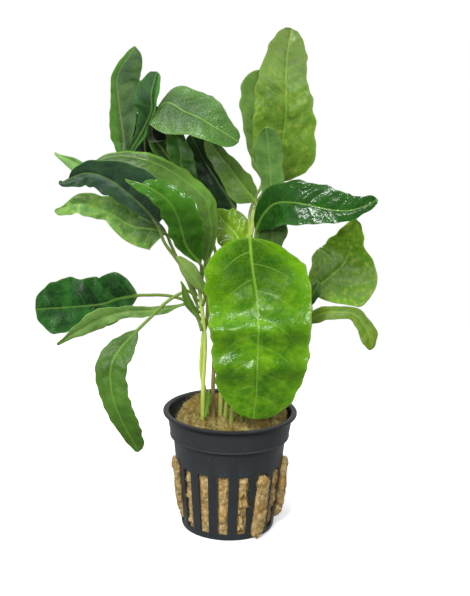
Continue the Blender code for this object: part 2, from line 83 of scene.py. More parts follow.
# %% Colours, nodes and objects
MIX = dict(data_type="RGBA")
TINT = dict(data_type="RGBA", blend_type="MULTIPLY")
SMOOTH = dict(interpolation_type="SMOOTHSTEP")
TIMES = dict(operation="MULTIPLY")
TIMES_PLUS = dict(operation="MULTIPLY_ADD")


def colour(code):
    """linear red, green, blue and alpha of an sRGB hex colour"""
    parts = [int(code[k:k + 2], 16) / 255 for k in (1, 3, 5)]
    return [p / 12.92 if p <= 0.04045 else ((p + 0.055) / 1.055) ** 2.4 for p in parts] + [1.0]


def fill(tree, node, inputs):
    """set or link a node's inputs, from a list or by name

    A node as value links from its first output in use.
    """
    for name, value in inputs.items() if isinstance(inputs, dict) else enumerate(inputs):
        if isinstance(value, bpy.types.Node):
            value = next(socket for socket in value.outputs if socket.enabled)
        if isinstance(value, bpy.types.NodeSocket):
            tree.links.new(value, node.inputs[name])
        else:
            node.inputs[name].default_value = value


def add(tree, kind, inputs=(), **settings):
    """add a node with its settings, and with values or links on its inputs"""
    node = tree.nodes.new("ShaderNode" + kind)
    for name, value in settings.items():
        setattr(node, name, value)
    fill(tree, node, inputs)
    return node


def new_material(name):
    """a material, what adds nodes to it, and what fills in its Principled shader"""
    material = bpy.data.materials.new(name)
    material.use_nodes = True
    tree = material.node_tree
    return material, partial(add, tree), partial(fill, tree, tree.nodes["Principled BSDF"])


def new_object(name, bm):
    """an object with the faces of a bmesh"""
    mesh = bpy.data.meshes.new(name)
    bm.to_mesh(mesh)
    bm.free()
    made = bpy.data.objects.new(name, mesh)
    bpy.context.collection.objects.link(made)
    return made


# %% World, lights and floor
FRONT_LIGHT = 0.2
BACK_LIGHT = 0.45
ABOVE_LIGHT = 0.4
FLOOR_SIZE = 0.27
FLOOR_GLOW = 0.3
SUN_STRENGTH = 2.9
SUN_ANGLE = 22
SUN_PLACE = (-0.3, -0.75, 0.85)
AIM = Vector((0, 0, 0.11))
LAMPS = {
    # name: place, size in metres, power in watts
    "sparkle_left": ((-0.18, -0.62, 0.30), 0.05, 1.0),
    "sparkle_middle": ((0.08, -0.62, 0.36), 0.045, 0.8),
    "sparkle_right": ((0.34, -0.37, 0.56), 0.05, 0.5),
    "upper_left": ((-0.28, -0.05, 0.72), 0.06, 0.7),
    "overhead": ((-0.03, 0.0, 0.75), 0.09, 1.0),
}

world = bpy.data.worlds.new("white_room")
bpy.context.scene.world = world
world.use_nodes = True
room = partial(add, world.node_tree)
way = room("SeparateXYZ", [room("TexCoord").outputs["Generated"]])
behind = room("MapRange", [way.outputs["Y"], -0.3, 0.5, FRONT_LIGHT, BACK_LIGHT])
above = room("MapRange", [way.outputs["Z"], 0.2, 0.9, 0, ABOVE_LIGHT])
given = room("Math", [behind, above])
level = room("MapRange", [room("LightPath").outputs["Is Camera Ray"], 0, 1, given, 1.0])
fill(world.node_tree, world.node_tree.nodes["Background"], [(1, 1, 1, 1), level])
bpy.context.scene.view_settings.view_transform = "Standard"


def hang(name, kind, place, **settings):
    """place a light with its settings, and turn it to the middle of the plant"""
    light = bpy.data.objects.new(name, bpy.data.lights.new(name, kind))
    for setting, value in settings.items():
        setattr(light.data, setting, value)
    light.location = place
    light.rotation_euler = (AIM - Vector(place)).to_track_quat("-Z", "Y").to_euler()
    bpy.context.collection.objects.link(light)
    return light


broad_sun = hang("broad_sun", "SUN", SUN_PLACE, energy=SUN_STRENGTH, angle=math.radians(SUN_ANGLE))
broad_sun.visible_glossy = False
for name, (place, size, power) in LAMPS.items():
    hang(name, "AREA", place, shape="DISK", size=size, energy=power)

bm = bmesh.new()
bmesh.ops.create_grid(bm, x_segments=1, y_segments=1, size=FLOOR_SIZE)
floor = new_object("floor", bm)
paper, node, shade = new_material("white_paper")
# the paper glows a little, as one lit from behind does, so the shadow on it stays pale
shade({"Base Color": colour("#f8f8f8"), "Roughness": 0.9, "Emission Color": colour("#ffffff"),
       "Emission Strength": FLOOR_GLOW})
floor.data.materials.append(paper)
# only the camera sees the sheet, so it neither tints nor hazes the undersides
floor.visible_diffuse = False
floor.visible_glossy = False
print("lights: broad_sun,", ", ".join(LAMPS))

# %% [markdown]
# ## Paths through the plant
# Stems and leaf stalks follow smooth curves through a few points, in millimetres. The points are
# those of the solids, so each dressed piece lies on its solid. Only the back left stem bends
# further, by up to 2 mm, because it winds round its neighbour in the photograph.

# %% Smooth routes
def smooth_value(values, t):
    """value at t, 0 to 1, on a smooth curve through evenly spaced numbers or points"""
    spans = len(values) - 1
    i = min(int(t * spans), spans - 1)
    u = t * spans - i
    a, b = values[max(i - 1, 0)], values[i]
    c, d = values[i + 1], values[min(i + 2, spans)]
    return 0.5 * (2 * b + (c - a) * u + (2 * a - 5 * b + 4 * c - d) * u ** 2
                  + (3 * b - a - 3 * c + d) * u ** 3)


class Route:
    """a smooth path through points, measured along its length"""

    def __init__(self, points, fine=16):
        points = [Vector(p) for p in points]
        steps = (len(points) - 1) * fine
        self.samples = [smooth_value(points, k / steps) for k in range(steps + 1)]
        self.marks = [0.0]
        for a, b in zip(self.samples, self.samples[1:]):
            self.marks.append(self.marks[-1] + (b - a).length)
        self.length = self.marks[-1]
        self.fine = fine

    def mark_of(self, index):
        """distance along the route to one of its given points"""
        return self.marks[index * self.fine]

    def at(self, distance):
        distance = min(max(distance, 0.0), self.length)
        k = max(1, bisect_left(self.marks, distance))
        span = self.marks[k] - self.marks[k - 1]
        part = (distance - self.marks[k - 1]) / span if span else 0.0
        return self.samples[k - 1].lerp(self.samples[k], part)

    def heading(self, distance):
        step = self.length * 0.01
        return (self.at(distance + step) - self.at(distance - step)).normalized()

    def climb(self, z, low, high, close):
        """distance, between two, at which the route comes up to a height"""
        while high - low > close:
            middle = (low + high) / 2
            if self.at(middle).z < z:
                low = middle
            else:
                high = middle
        return low


# %% Stem routes: foot radius, tip radius, colour, and the points from inside the wool
STEM_FOOT_Z = 38.0
STEMS = {
    "left": (0.95, 0.75, "#c4da66", [(-11, -9), (-11, -9, 49), (-11, -9, 63), (-10.5, -9, 80),
        (-12, -8.5, 94), (-13, -8, 102), (-12, -8, 108)]),
    "left_back": (0.9, 0.7, "#b4cc58", [(-9, -5), (-9, -5, 48), (-10.3, -4.5, 58), (-12, -4, 68),
        (-11.6, -3.5, 80), (-10, -3, 90), (-10, -3, 101), (-10, -2, 112), (-9, 2, 122),
        (-12, 8, 133), (-16, 12, 139)]),
    "tan": (0.95, 0.7, "#8a7a48", [(-6.5, -8), (-6.5, -8, 47), (-7, -7, 58), (-7, -6, 68),
        (-6.5, -4, 85), (-5, 0, 100), (-6, 4, 108)]),
    "pale": (1.0, 0.75, "#b9c562", [(-4, -5), (-4, -5, 46), (-3.5, -4, 64), (-1.5, -3, 89),
        (2, -3, 111), (5.5, -2, 121), (8, 2, 134)]),
    "centre": (0.9, 0.7, "#adc058", [(-2, -9.5), (-2, -9.5, 48), (-0.5, -9, 65), (2.5, -8, 90),
        (5, -8, 113), (7, -6.5, 126), (8.5, -5, 132)]),
    "front": (1.1, 0.8, "#9db256", [(0.5, -13.5), (0.5, -13.5, 48), (2, -14, 63), (4.5, -15, 86),
        (6, -15, 108), (7, -15, 121)]),
    "right": (0.95, 0.75, "#8da04a", [(3, -7.5), (3, -7.5, 46), (5, -7, 58), (12, -4, 75),
        (21, -1, 86.5), (25, 0, 91)]),
    "front_right": (0.85, 0.7, "#93a24e", [(4.5, -12), (4.5, -12, 48), (6, -11, 62), (9, -9, 82),
        (13, -8, 103), (14.5, -8, 112)]),
}


def stem_route(name):
    points = STEMS[name][3]
    return Route([(*points[0], STEM_FOOT_Z)] + points[1:])


def stem_radius(name, part):
    foot_radius, tip_radius = STEMS[name][:2]
    return foot_radius + (tip_radius - foot_radius) * part


print(len(STEMS), "stem routes")

# %% [markdown]
# ## The leaves
# A lake cress leaf is a long blade about a third of a millimetre thick. A pale midrib runs up it,
# side veins leave the rib nearly square and bend towards the tip, and the blade is quilted
# between them. Each leaf starts as a many sided closed tube, round at the stalk, and is pressed
# flat where the blade begins. So stalk, blade, margin and tip are one skin with no seam.

# %% The leaves, in millimetres, with their colours
# "on" is the stem and the height where the stalk leaves it, "face" turns the upper side, "left"
# and "right" are half widths at even steps, and "fold" lifts the two halves, in degrees.
# "wave" is how far the margin swings and how often, and "pucker" how deep the quilting is.
# "greens" are the body of the blade, its blotches and its underside. "heart" is how
# far the painted shade by the stalk reaches, how dark it is, and how much of the gloss it loses.
# "tip" is how long the tip of another colour is, and its colour; on some leaves it is painted shade.
# "strip" is the side, start and colour of a margin painted lighter, as if lit.
USUAL = dict(stalk=[], blunt=0.0, bands=(), fold=(8, 8), wave=(0.4, 5), pucker=0.2, vein_gap=6.0,
             rough=0.4, gloss=0.35, leather=0.25, vein=0.2, rib=0.42, clouds=0, heart=(1, 0, 0))


def blade(**own):
    """what a leaf shares with the others, and what is its own"""
    return {**USUAL, **own}


LEAVES = {
    "front_big": blade(on=("front", "tip"), stalk=[(6.7, -16.8, 125)], midrib=[(6, -20, 125.5),
        (7, -26, 117), (9, -29, 106), (10, -31, 94), (10, -31, 80), (10, -29, 66), (9, -26, 55)],
        face=[(0, 0.1, 1), (0, -1, 0.2), (0, -1, 0), (0, -1, -0.1)], left=[20, 21, 20, 19.5, 16],
        right=[18.5, 19, 18.5, 17, 15], blunt=1.0, bands=((36, 1.5), (51.5, 1.5)), fold=(-6, -6),
        wave=(0.35, 5), pucker=0.36, vein_gap=10.5, greens="#336b03 #60920a #68831a",
        rough=0.19, vein=0.35, rib=0.6, clouds=0.15, heart=(34, 0.68, 0.9)),
    "right_glossy": blade(on=("front", 115), stalk=[(8.2, -12.5, 121)], midrib=[(8.5, -12, 127),
        (11, -14, 134), (16, -17, 139), (26, -25, 140), (40, -31, 139), (47, -33, 141),
        (52, -34, 144)], face=[(-0.6, -0.8, 0.3), (0, -0.75, 0.65), (0, -0.75, 0.65)],
        left=[5, 9, 10, 8.5, 6], right=[9, 11, 10, 7, 4], fold=(4, 4), wave=(0.3, 5), pucker=0.3,
        greens="#0d3802 #174804 #1c4605", rough=0.15, vein=0.25, rib=0.48),
    "right_narrow": blade(on=("front_right", "tip"), midrib=[(15, -7, 116), (15, -6, 124),
        (14, -7, 139), (13, -9, 153), (11, -13, 167)], face=[(0, -1, 0.1), (0, -1, 0.05)],
        left=[6.5, 4.5, 3.5, 4.5, 5.5], right=[5.5, 5, 4.5, 5, 5.5], fold=(4, 4), wave=(0.3, 4),
        vein_gap=5.5, greens="#446f2e #648943 #759356", rough=0.35),
    # painted shade: the tip colour darkens the top of this leaf, which leans into the light
    "right_tall": blade(on=("pale", "tip"), stalk=[(10.5, 6, 138)], midrib=[(14, 9.5, 143),
        (17.5, 6.5, 156), (19, 5, 169), (18.5, 5, 182), (19, 8, 194), (20.5, 13, 203)],
        face=[(0.15, -1, 0), (0.1, -1, 0), (0, -1, 0.2)], left=[10.5, 12.5, 12.5, 11, 8],
        right=[13.5, 12.5, 10.5, 8.5, 7.5], fold=(6, 6), wave=(0.6, 5), pucker=0.3, vein_gap=7.0,
        greens="#476d19 #648729 #5a7a2c", rough=0.36, clouds=0.35, tip=(36, "#566b30")),
    "right_behind": blade(on=("pale", 124), stalk=[(6, 7, 130), (8, 17, 135)], midrib=[(11, 26, 141),
        (8, 28, 157), (7, 27, 171), (9, 23, 186)], face=[(-0.2, -1, 0), (-0.1, -1, 0)],
        left=[3.5, 4.5, 5, 6, 6.5], right=[3.5, 5.5, 7.5, 7.5, 5.5], fold=(12, 12), wave=(0.3, 4),
        greens="#598035 #74984a #82a455"),
    "centre_olive": blade(on=("centre", "tip"), midrib=[(8, -3, 137), (4, 1, 141), (-2, 6, 148),
        (-9, 10, 156), (-12, 12, 161)], face=[(-0.5, -0.8, 0.3), (-0.4, -0.8, 0.4)],
        left=[6.5, 6.5, 5.5, 4.5, 3.5], right=[5.5, 4.5, 4, 3.5, 3], fold=(8, 14), wave=(0.2, 3),
        vein_gap=5.5, greens="#405f23 #56772b #658247", rough=0.36),
    # painted shade: the greens of this leaf deep in the plant are darkened
    "centre_dark": blade(on=("tan", "tip"), stalk=[(-7.5, 8, 114), (-8.5, 14, 119), (-4, 19, 124)],
        midrib=[(0, 20, 129), (-6, 25, 138), (-13, 27, 148), (-19, 28, 159)], face=[(-0.3, -1, 0.2),
        (-0.3, -1, 0.2)], left=[8, 10, 8.5, 6.5, 5], right=[4, 7.5, 8, 8, 6], fold=(10, 10),
        wave=(0.3, 3), greens="#0d270f #183b15 #295325", rough=0.42),
    "centre_yellow": blade(on=("pale", 106), stalk=[(2.5, 2, 108), (5, 7, 111)], midrib=[(4, 9, 115),
        (2, 10, 119), (-2, 11, 124), (-6, 12, 128), (-7, 13, 131)], face=[(0.1, -1, 0.1),
        (0, -1, 0.2)], left=[5, 8, 7.5, 5.5, 4], right=[4.5, 7, 7.5, 7, 5.5], wave=(0.4, 4),
        pucker=0.3, vein_gap=5.0, greens="#638f0c #80a617 #7a9d1d", rough=0.2, clouds=0.3,
        tip=(18, "#4d6e1e")),
    "top_bent": blade(on=("left_back", "tip"), midrib=[(-21, 14, 144), (-28, 14.5, 152),
        (-33, 12, 159), (-34, 8, 164), (-32, 4, 169), (-27, 0, 174), (-20, -4, 171), (-14, -7, 169),
        (-8, -9, 166), (1, -10, 161)], face=[(-0.3, -1, 0.2), (-0.5, -0.6, 0.5), (-0.8, 0, 0.6),
        (-0.1, -0.5, 0.8), (0.15, -0.65, 0.75), (0.3, -0.6, 0.7)], left=[4, 4, 4, 5, 10, 14, 11.5, 8],
        right=[4, 4, 4, 7, 14, 14, 10.5, 8], fold=(0, 0), wave=(0.4, 4), pucker=0.22, vein_gap=6.5,
        greens="#345e1a #477029 #42522a", rough=0.24, leather=0.9, rib=0.6,
        heart=(78, 0.95, 0)),
    "centre_upright": blade(on=("left_back", 129), stalk=[(-11, 7, 135)], midrib=[(-14, 9, 139),
        (-18, 9, 144), (-22, 9, 149), (-22, 9, 153), (-24, 10, 161), (-25, 12, 166)],
        face=[(0.2, -1, 0.2), (0.1, -1, 0.2)], left=[2, 3.5, 5, 5, 4], right=[2.5, 5, 5.5, 3.5, 3],
        wave=(0.3, 4), pucker=0.12, vein_gap=5.5, greens="#254d13 #386a1d #4e7234",
        rough=0.38),
    "tall_left": blade(on=("left_back", 119), stalk=[(-15, 8, 124), (-28, 18, 134), (-40, 24, 142)],
        midrib=[(-46, 24, 148), (-46, 24, 156), (-48, 23, 172), (-48, 21, 183), (-41, 18, 194)],
        face=[(0.3, -1, 0), (0.3, -1, 0.1)], left=[5, 5, 3.5, 2.5, 2], right=[3.5, 6.5, 9, 9.5, 8],
        fold=(-25, 8), vein_gap=6.5, greens="#425d41 #58783c #607867", rough=0.38,
        heart=(45, 0.6, 0), strip=(-1, 0.25, "#487a1b")),
    # painted shade: the greens of this leaf deep in the plant are darkened
    "tall_left_front": blade(on=("left_back", 125), stalk=[(-18, 8, 132), (-32, 12, 141),
        (-41, 14, 146)], midrib=[(-44, 14, 150), (-38, 12, 161), (-34, 10, 170), (-34, 10, 177),
        (-32, 12, 185)], face=[(-0.2, -1, 0), (-0.2, -1, 0.1)], left=[1.5, 2.5, 4.5, 7, 6],
        right=[2, 2.5, 2, 2.5, 3.5], fold=(10, 15), wave=(0.4, 4),
        greens="#1b421b #2b5822 #38652c", heart=(48, 0.85, 0), strip=(1, 0.45, "#41782a")),
    # painted shade: this leaf's near black greens stand for the shade deep in the plant
    "left_shadow": blade(on=("left_back", 133), stalk=[(-12, 14, 135), (-20, 22, 138)],
        midrib=[(-36, 30, 142), (-38, 32, 151), (-38, 32, 162), (-35, 30, 171)], face=[(0, -1, 0),
        (0, -1, 0)], left=[6, 8, 7.5, 5.5, 4], right=[7, 10.5, 12, 10.5, 7], fold=(10, 5),
        wave=(0.3, 3), greens="#030604 #060d07 #0c180e", rough=0.45),
    # painted shade: the dark tip colour darkens the far part of this arching leaf
    "left_arch": blade(on=("left", "tip"), midrib=[(-11, -5.5, 113), (-9, -4, 123), (-11, -4, 136),
        (-18, -2, 143), (-30, 0, 150), (-44, 2, 153), (-56, 2, 150)], face=[(0.6, -0.8, 0),
        (0.6, -0.7, 0.4), (0.1, -0.6, 0.8), (0, -0.6, 0.8)], left=[5, 6, 7, 7, 5],
        right=[3.5, 4.5, 4.5, 4, 3], fold=(0, 0), vein_gap=5.5,
        greens="#436426 #547d2b #6e9043", rough=0.34, tip=(50, "#24391f"),
        strip=(1, 0.5, "#608b2c")),
    # painted shade: the greens of this leaf deep in the plant are darkened
    "left_dark": blade(on=("left", 100), stalk=[(-18, -9, 108), (-22, -9.5, 114), (-27, -10, 121)],
        midrib=[(-30, -10, 128), (-36, -12, 136), (-47, -13, 145), (-57, -14, 148), (-67, -16, 144)],
        face=[(0.1, -1, -0.1), (0, -1, -0.2), (0, -1, 0.1)], left=[3, 5, 6, 5.5, 4.5],
        right=[10, 15, 12.5, 7.5, 3.5], fold=(10, 25), wave=(0.6, 5), pucker=0.25, vein_gap=6.5,
        greens="#1e3528 #315033 #4b6350", rough=0.34),
    "left_front": blade(on=("left", 106), stalk=[(-12.5, -11.5, 111)], midrib=[(-13, -14, 114),
        (-18, -17, 121), (-20, -20, 128), (-22, -23, 135), (-26, -25, 141), (-33, -27, 146),
        (-41, -25, 148)], face=[(0.2, -1, 0.1), (0, -0.9, 0.4), (-0.1, -0.6, 0.8)],
        left=[3, 5, 5.5, 5, 3.5], right=[7, 8.5, 8.5, 6.5, 2.5], fold=(5, 10), wave=(0.4, 4),
        pucker=0.3, greens="#28550a #356612 #41661d", rough=0.18, heart=(24, 0.4, 0)),
    "left_tip_behind": blade(on=("left_back", 112), stalk=[(-16, 5, 117), (-30, 14, 127)],
        midrib=[(-45, 22, 136), (-56, 24, 141), (-66, 26, 146), (-75, 28, 150)], face=[(0, -1, 0.4),
        (0, -1, 0.4)], left=[2.5, 3.5, 3.5, 4, 2.5], right=[2.5, 3, 2.5, 2, 1], fold=(15, 15),
        wave=(0.3, 4), vein_gap=5.0, greens="#4c7234 #5b823e #678648"),
    "left_spotted": blade(on=("left", 95), stalk=[(-18, -6, 105), (-22, -4.5, 113), (-25, -3, 119)],
        midrib=[(-27, -2.5, 123), (-32, -2, 124.5), (-40, -4, 126), (-50, -6, 132), (-60, -7, 135),
        (-70, -8, 132)], face=[(0, -0.8, 0.6), (0, -0.9, 0.4)], left=[9.5, 7, 3.5, 5, 4.5],
        right=[5, 6.5, 6, 5, 2.5], fold=(10, 15), wave=(0.7, 4), pucker=0.3,
        greens="#3f6a2e #648b3c #678649", rough=0.34, clouds=0.45, heart=(28, 0.6, 0)),
    # painted shade: the greens of this leaf deep in the plant are darkened
    "left_low_dark": blade(on=("left", 93), stalk=[(-18, -4, 96), (-24, -1, 97.2), (-29, 3, 96.7),
        (-34, 6, 95.8)], midrib=[(-39, 8, 95), (-47, 10, 93), (-54, 12, 90), (-66, 14, 88),
        (-82, 16, 86)], face=[(0, -1, 0.4), (0, -1, 0.3)], left=[8, 9.5, 10, 10, 10],
        right=[10.5, 11, 11.5, 12, 10.5], fold=(6, 10), wave=(0.6, 5), pucker=0.05, vein_gap=6.5,
        greens="#0a2410 #25541e #1f3a24", rough=0.24, gloss=0.15),
    "left_low_twist": blade(on=("left", 90), stalk=[(-15.5, -6, 94)], midrib=[(-19, -4, 95),
        (-27, -5, 93), (-37, -6, 92), (-42, -7, 92), (-50, -8, 90), (-60, -10, 85), (-69, -12, 79)],
        face=[(0, -0.7, 0.8), (0, -1, -0.1), (0, -1, -0.4)], left=[2, 2.5, 3, 3.5, 2],
        right=[1.5, 2, 3, 4.5, 2.5], vein_gap=5.0, greens="#4c6c31 #5f823b #74914f",
        rough=0.42),
    "left_hanging": blade(on=("left", 98), stalk=[(-17, -11, 102), (-21, -12, 101), (-26, -14, 98),
        (-32, -15, 92)], midrib=[(-37, -16, 87), (-42, -18, 82), (-46, -20, 76), (-47, -21, 70),
        (-46, -22, 62), (-43, -22, 53), (-36, -18, 37)], face=[(-0.2, -1, 0.2), (0, -1, 0.1)],
        left=[6, 6.5, 6.5, 6, 5.5], right=[4.5, 6, 5, 4, 3], fold=(2, 2), pucker=0.25,
        greens="#395b1b #446a20 #4c6c2c", rough=0.34),
    "low_small": blade(on=("left", 86), midrib=[(-13.5, -11, 91), (-17, -14, 98), (-20, -15.5, 107)],
        face=[(0.5, -0.8, 0.2), (0.5, -0.8, 0.2)], left=[1, 1.5, 2, 2, 1], right=[1.5, 2, 2, 1.5, 1],
        fold=(10, 10), wave=(0.15, 3), pucker=0.1, vein_gap=4.0,
        greens="#497023 #5e822c #6b8a43", rough=0.36),
    "left_pale": blade(on=("left", 96), midrib=[(-11, -12.5, 101), (-14, -15, 107), (-18, -16.5, 112),
        (-22, -16.5, 117)], face=[(-0.3, 1, -0.2), (-0.3, 1, -0.2)], left=[2.5, 3, 3.5, 3.5, 2.5],
        right=[1.5, 2.5, 2.5, 2.5, 1.5], wave=(0.2, 3), pucker=0.15, vein_gap=4.0,
        greens="#517a26 #62862d #759248"),
    "right_folded": blade(on=("right", "tip"), stalk=[(28, 1, 95)], midrib=[(31, 1, 100), (38, 4, 105),
        (44.5, 6, 111), (47, 5, 119), (48, 0, 130)], face=[(-0.2, -1, 0.3), (-0.2, -1, 0)],
        left=[8, 12, 11, 9.5, 6], right=[12, 18, 15, 7.5, 4.5], wave=(0.8, 4), pucker=0.3,
        vein_gap=6.5, greens="#4b7913 #60881c #5e8023", rough=0.36, clouds=0.6,
        heart=(20, 0.45, 0)),
    "right_droop": blade(on=("right", 82), stalk=[(24, -4, 86)], midrib=[(29, -4, 89), (36, -6, 93),
        (41, -7, 94), (47, -8, 94), (51, -9, 91), (54, -11, 86), (55, -12, 80)],
        face=[(0.1, -0.6, 0.8), (0.2, -0.8, 0.5), (0.5, -0.9, 0.2)], left=[3, 2.5, 2.5, 3.2, 4.2],
        right=[4, 3.5, 3, 3.7, 4.3], fold=(6, 6), vein_gap=4.5,
        greens="#4b6b12 #5f791c #607922", rough=0.38),
    "right_sprout": blade(on=("right", 86), stalk=[(23, -4, 91)], midrib=[(28, -5, 95), (31, -7, 100),
        (34, -7, 106)], face=[(0, -1, 0.2), (0, -1, 0.2)], left=[2, 3, 3, 3.5, 2.5],
        right=[1.5, 2.5, 2.5, 2.5, 2], wave=(0.2, 3), pucker=0.15, vein_gap=4.0,
        greens="#2b4e17 #3e6526 #506e34", rough=0.38),
    "base_sprout": blade(on=("left", 49.5), midrib=[(-9.5, -11.5, 52), (-9, -12, 57), (-8.5, -12, 62)],
        face=[(0.2, -1, 0), (0.2, -1, 0)], left=[0.7, 1, 1, 1, 0.8], right=[0.7, 1, 1.3, 1.2, 0.7],
        wave=(0.1, 3), pucker=0.1, vein_gap=3.0, greens="#48721d #5e8626 #6b8b40"),
}

# %% Leaf sizes that all leaves share, in millimetres
BLADE_THICKNESS = 0.34
STALK_RADIUS = 0.62
# the round foot of a stalk: sections behind its start, as shares of its radius
STALK_FOOT = (-0.95, -0.8, -0.45)
TIP_RADIUS = 0.22
GAP = 0.15
TIP_GAP = 0.7
STEP_ALONG = 0.6
STEP_ACROSS = 0.55
RIB_WIDTH = 0.75
RIB_GROOVE = 0.22
RIB_RIDGE = 0.45
# the round stalk turns flat from just before the blade's start to a little after it
FLAT_START = -0.5
FLAT_END = 3.5
VEIN_LEAN = 0.15
VEIN_BEND = 0.65
# veins of the right half leave the rib between those of the left half
VEIN_SHIFT = 0.45
QUILT_PATCH = 9.0
QUILT_UNEVEN = 1.3
CRINKLE_SIZE = 1.7
CRINKLE_SHARE = 0.4
SWELL_SIZE = 11.0
SWELL_HEIGHT = 0.9
BAND_WIDTH = 4.0
WAVE_HEIGHT = 1.8
MARGIN_RIPPLE = 1.1
MARGIN_LENGTH = 4.0


def stalk_start(leaf):
    """where a stalk leaves its stem: beside it at a height, or just past its tip"""
    name, height = leaf["on"]
    route = stem_route(name)
    if height == "tip":
        return route.at(route.length) + route.heading(route.length) * TIP_GAP
    foot = route.climb(height, 0.0, route.length, 0.01)
    base, along = route.at(foot), route.heading(foot)
    away = Vector((leaf["stalk"] + leaf["midrib"])[0]) - base
    away -= along * away.dot(along)
    return base + away.normalized() * (stem_radius(name, foot / route.length) + GAP + STALK_RADIUS)


def half_width(widths, t, blunt=0.0):
    """half width of a blade side at t, from none at both ends: blunt at the tip, and at the base
    as blunt as it is told"""
    share = max(t, blunt)
    squares = smooth_value([0.0] + [w ** 2 for w in widths] + [0.0], t)
    cubes = smooth_value([0.0] + [w ** 3 for w in widths] + [0.0], t)
    return (1 - share) * max(squares, 0.0) ** (1 / 2) + share * max(cubes, 0.0) ** (1 / 3)


def mix_directions(directions, t):
    spans = len(directions) - 1
    i = min(int(t * spans), spans - 1)
    return Vector(directions[i]).lerp(Vector(directions[i + 1]), t * spans - i)


# %% [markdown]
# One station of a leaf holds what all the points of its section share: the place on the midrib,
# the directions, and how wide each half is. A point then moves across by its share of the width
# and up by the fold, the quilting, the margin's wave and a slow swell. The biggest leaf is also
# swollen in two bands across it, which catch the light.

# %% A closed tube to press into shape
def closed_tube(sides, rings, fields=()):
    """upright closed tube, and the ring and the turn of each of its points"""
    bm = bmesh.new()
    for field in fields:
        bm.verts.layers.float.new(field)
    bmesh.ops.create_cone(bm, cap_ends=True, segments=sides, radius1=1, radius2=1, depth=1)
    upright = [e for e in bm.edges if abs(e.verts[0].co.z - e.verts[1].co.z) > 0.5]
    bmesh.ops.subdivide_edges(bm, edges=upright, cuts=rings - 1)
    return bm, [(vert, round((vert.co.z + 0.5) * rings),
                 math.atan2(vert.co.y, vert.co.x) % math.tau) for vert in bm.verts]


def pressed_tube(sides, rings, place):
    """closed tube, each point where a function of its part of the way up and its turn puts it"""
    bm, points = closed_tube(sides, rings)
    for vert, level, turn in points:
        vert.co = place(level / rings, turn) * MM
    return bm


def ramp(value, start, end):
    """0 before start, 1 after end, smooth between"""
    t = min(1.0, max(0.0, (value - start) / (end - start)))
    return t * t * (3 - 2 * t)


# %% The leaf's sections
def station(leaf, route, distance, blade_start):
    """place, directions and half widths of one section of a leaf"""
    t = max(0.0, (distance - blade_start) / (route.length - blade_start))
    along = route.heading(distance)
    face = mix_directions(leaf["face"], t)
    face = (face - along * face.dot(along)).normalized()
    past = distance - blade_start
    foot = min(0.0, distance)
    core = STALK_RADIUS + (TIP_RADIUS - STALK_RADIUS) * ramp(t, 0.7, 1)
    return {"t": t, "centre": route.at(distance) + along * foot, "face": face,
            "side": along.cross(face), "past": past, "flat": ramp(past, FLAT_START, FLAT_END),
            "core": core * math.sqrt(1 - (foot / STALK_RADIUS) ** 2),
            "widths": [half_width(leaf[half], t, leaf["blunt"]) for half in ("left", "right")]}


def leaf_point(leaf, here, turn, seed):
    """a point of the section at a turn round it, and its blade coordinates for the finish"""
    upper = turn > math.pi
    half = 1 if math.cos(turn) >= 0 else 0
    flat, past = here["flat"], here["past"]
    width = max(here["widths"][half], here["core"])
    even = 1 - 2 * (math.tau - turn if upper else turn) / math.pi
    share = math.cos(turn) * (1 - 0.6 * flat) + even * 0.6 * flat
    swing, waves = leaf["wave"]
    ripple = WAVE_HEIGHT * noise.noise(Vector((waves * here["t"] * 1.6, 4.3 * half, 3.1 * seed)))
    width += MARGIN_RIPPLE * flat * min(1.0, width / 5) * noise.noise(
        Vector((past / MARGIN_LENGTH, 7.9 * half, 2.3 * seed)))
    across = share * width
    reach = abs(across)
    vein = VEIN_SHIFT * half + (past - VEIN_LEAN * reach
                                - VEIN_BEND * reach ** 2 / max(width, 2.0)) / leaf["vein_gap"]
    quilt = math.sin(math.pi * vein) ** 2 * min(1.0, reach / 2) * (1 - abs(share) ** 3)
    quilt *= 1 + QUILT_UNEVEN * noise.noise(
        Vector((past / QUILT_PATCH, 3.7 * half + share, 1.9 * seed)))
    rib = math.exp(-(reach / RIB_WIDTH) ** 2)
    lift = math.radians(leaf["fold"][half]) * flat
    thick = (here["core"] * (1 - flat) + BLADE_THICKNESS / 2 * flat) * abs(math.sin(turn))
    flat_place = here["centre"] + here["side"] * across
    height = leaf["pucker"] * (quilt - 0.4) + swing * ripple * share ** 2
    height -= rib * (RIB_GROOVE if upper else RIB_RIDGE)
    height += SWELL_HEIGHT * noise.noise(flat_place / SWELL_SIZE + Vector((seed, 0, 0)))
    height += CRINKLE_SHARE * leaf["pucker"] * noise.noise(flat_place / CRINKLE_SIZE)
    for swollen, size in leaf["bands"]:
        height += size * math.exp(-((past - swollen) / BAND_WIDTH) ** 2)
    place = here["centre"] + here["side"] * (across * math.cos(lift)) + here["face"] * (
        reach * math.sin(lift) + height * flat + (thick if upper else -thick))
    return place, (across, past, vein, share, 0.0 if upper else 1.0)


print("half width of the biggest leaf at its middle, in mm:",
      round(half_width(LEAVES["front_big"]["left"], 0.5), 1))

# %% [markdown]
# The finish needs to know where it is on the blade, so every point carries five numbers: the way
# across and along in millimetres, its count of side veins, its share of the half width, and
# whether it is on the underside.

# %% Build one leaf
BLADE_FIELDS = ("across", "along", "vein", "share", "under")


def leaf_route(leaf):
    """the route of a stalk and its midrib, and the distance at which the blade starts"""
    route = Route([stalk_start(leaf)] + leaf["stalk"] + leaf["midrib"])
    return route, route.mark_of(1 + len(leaf["stalk"]))


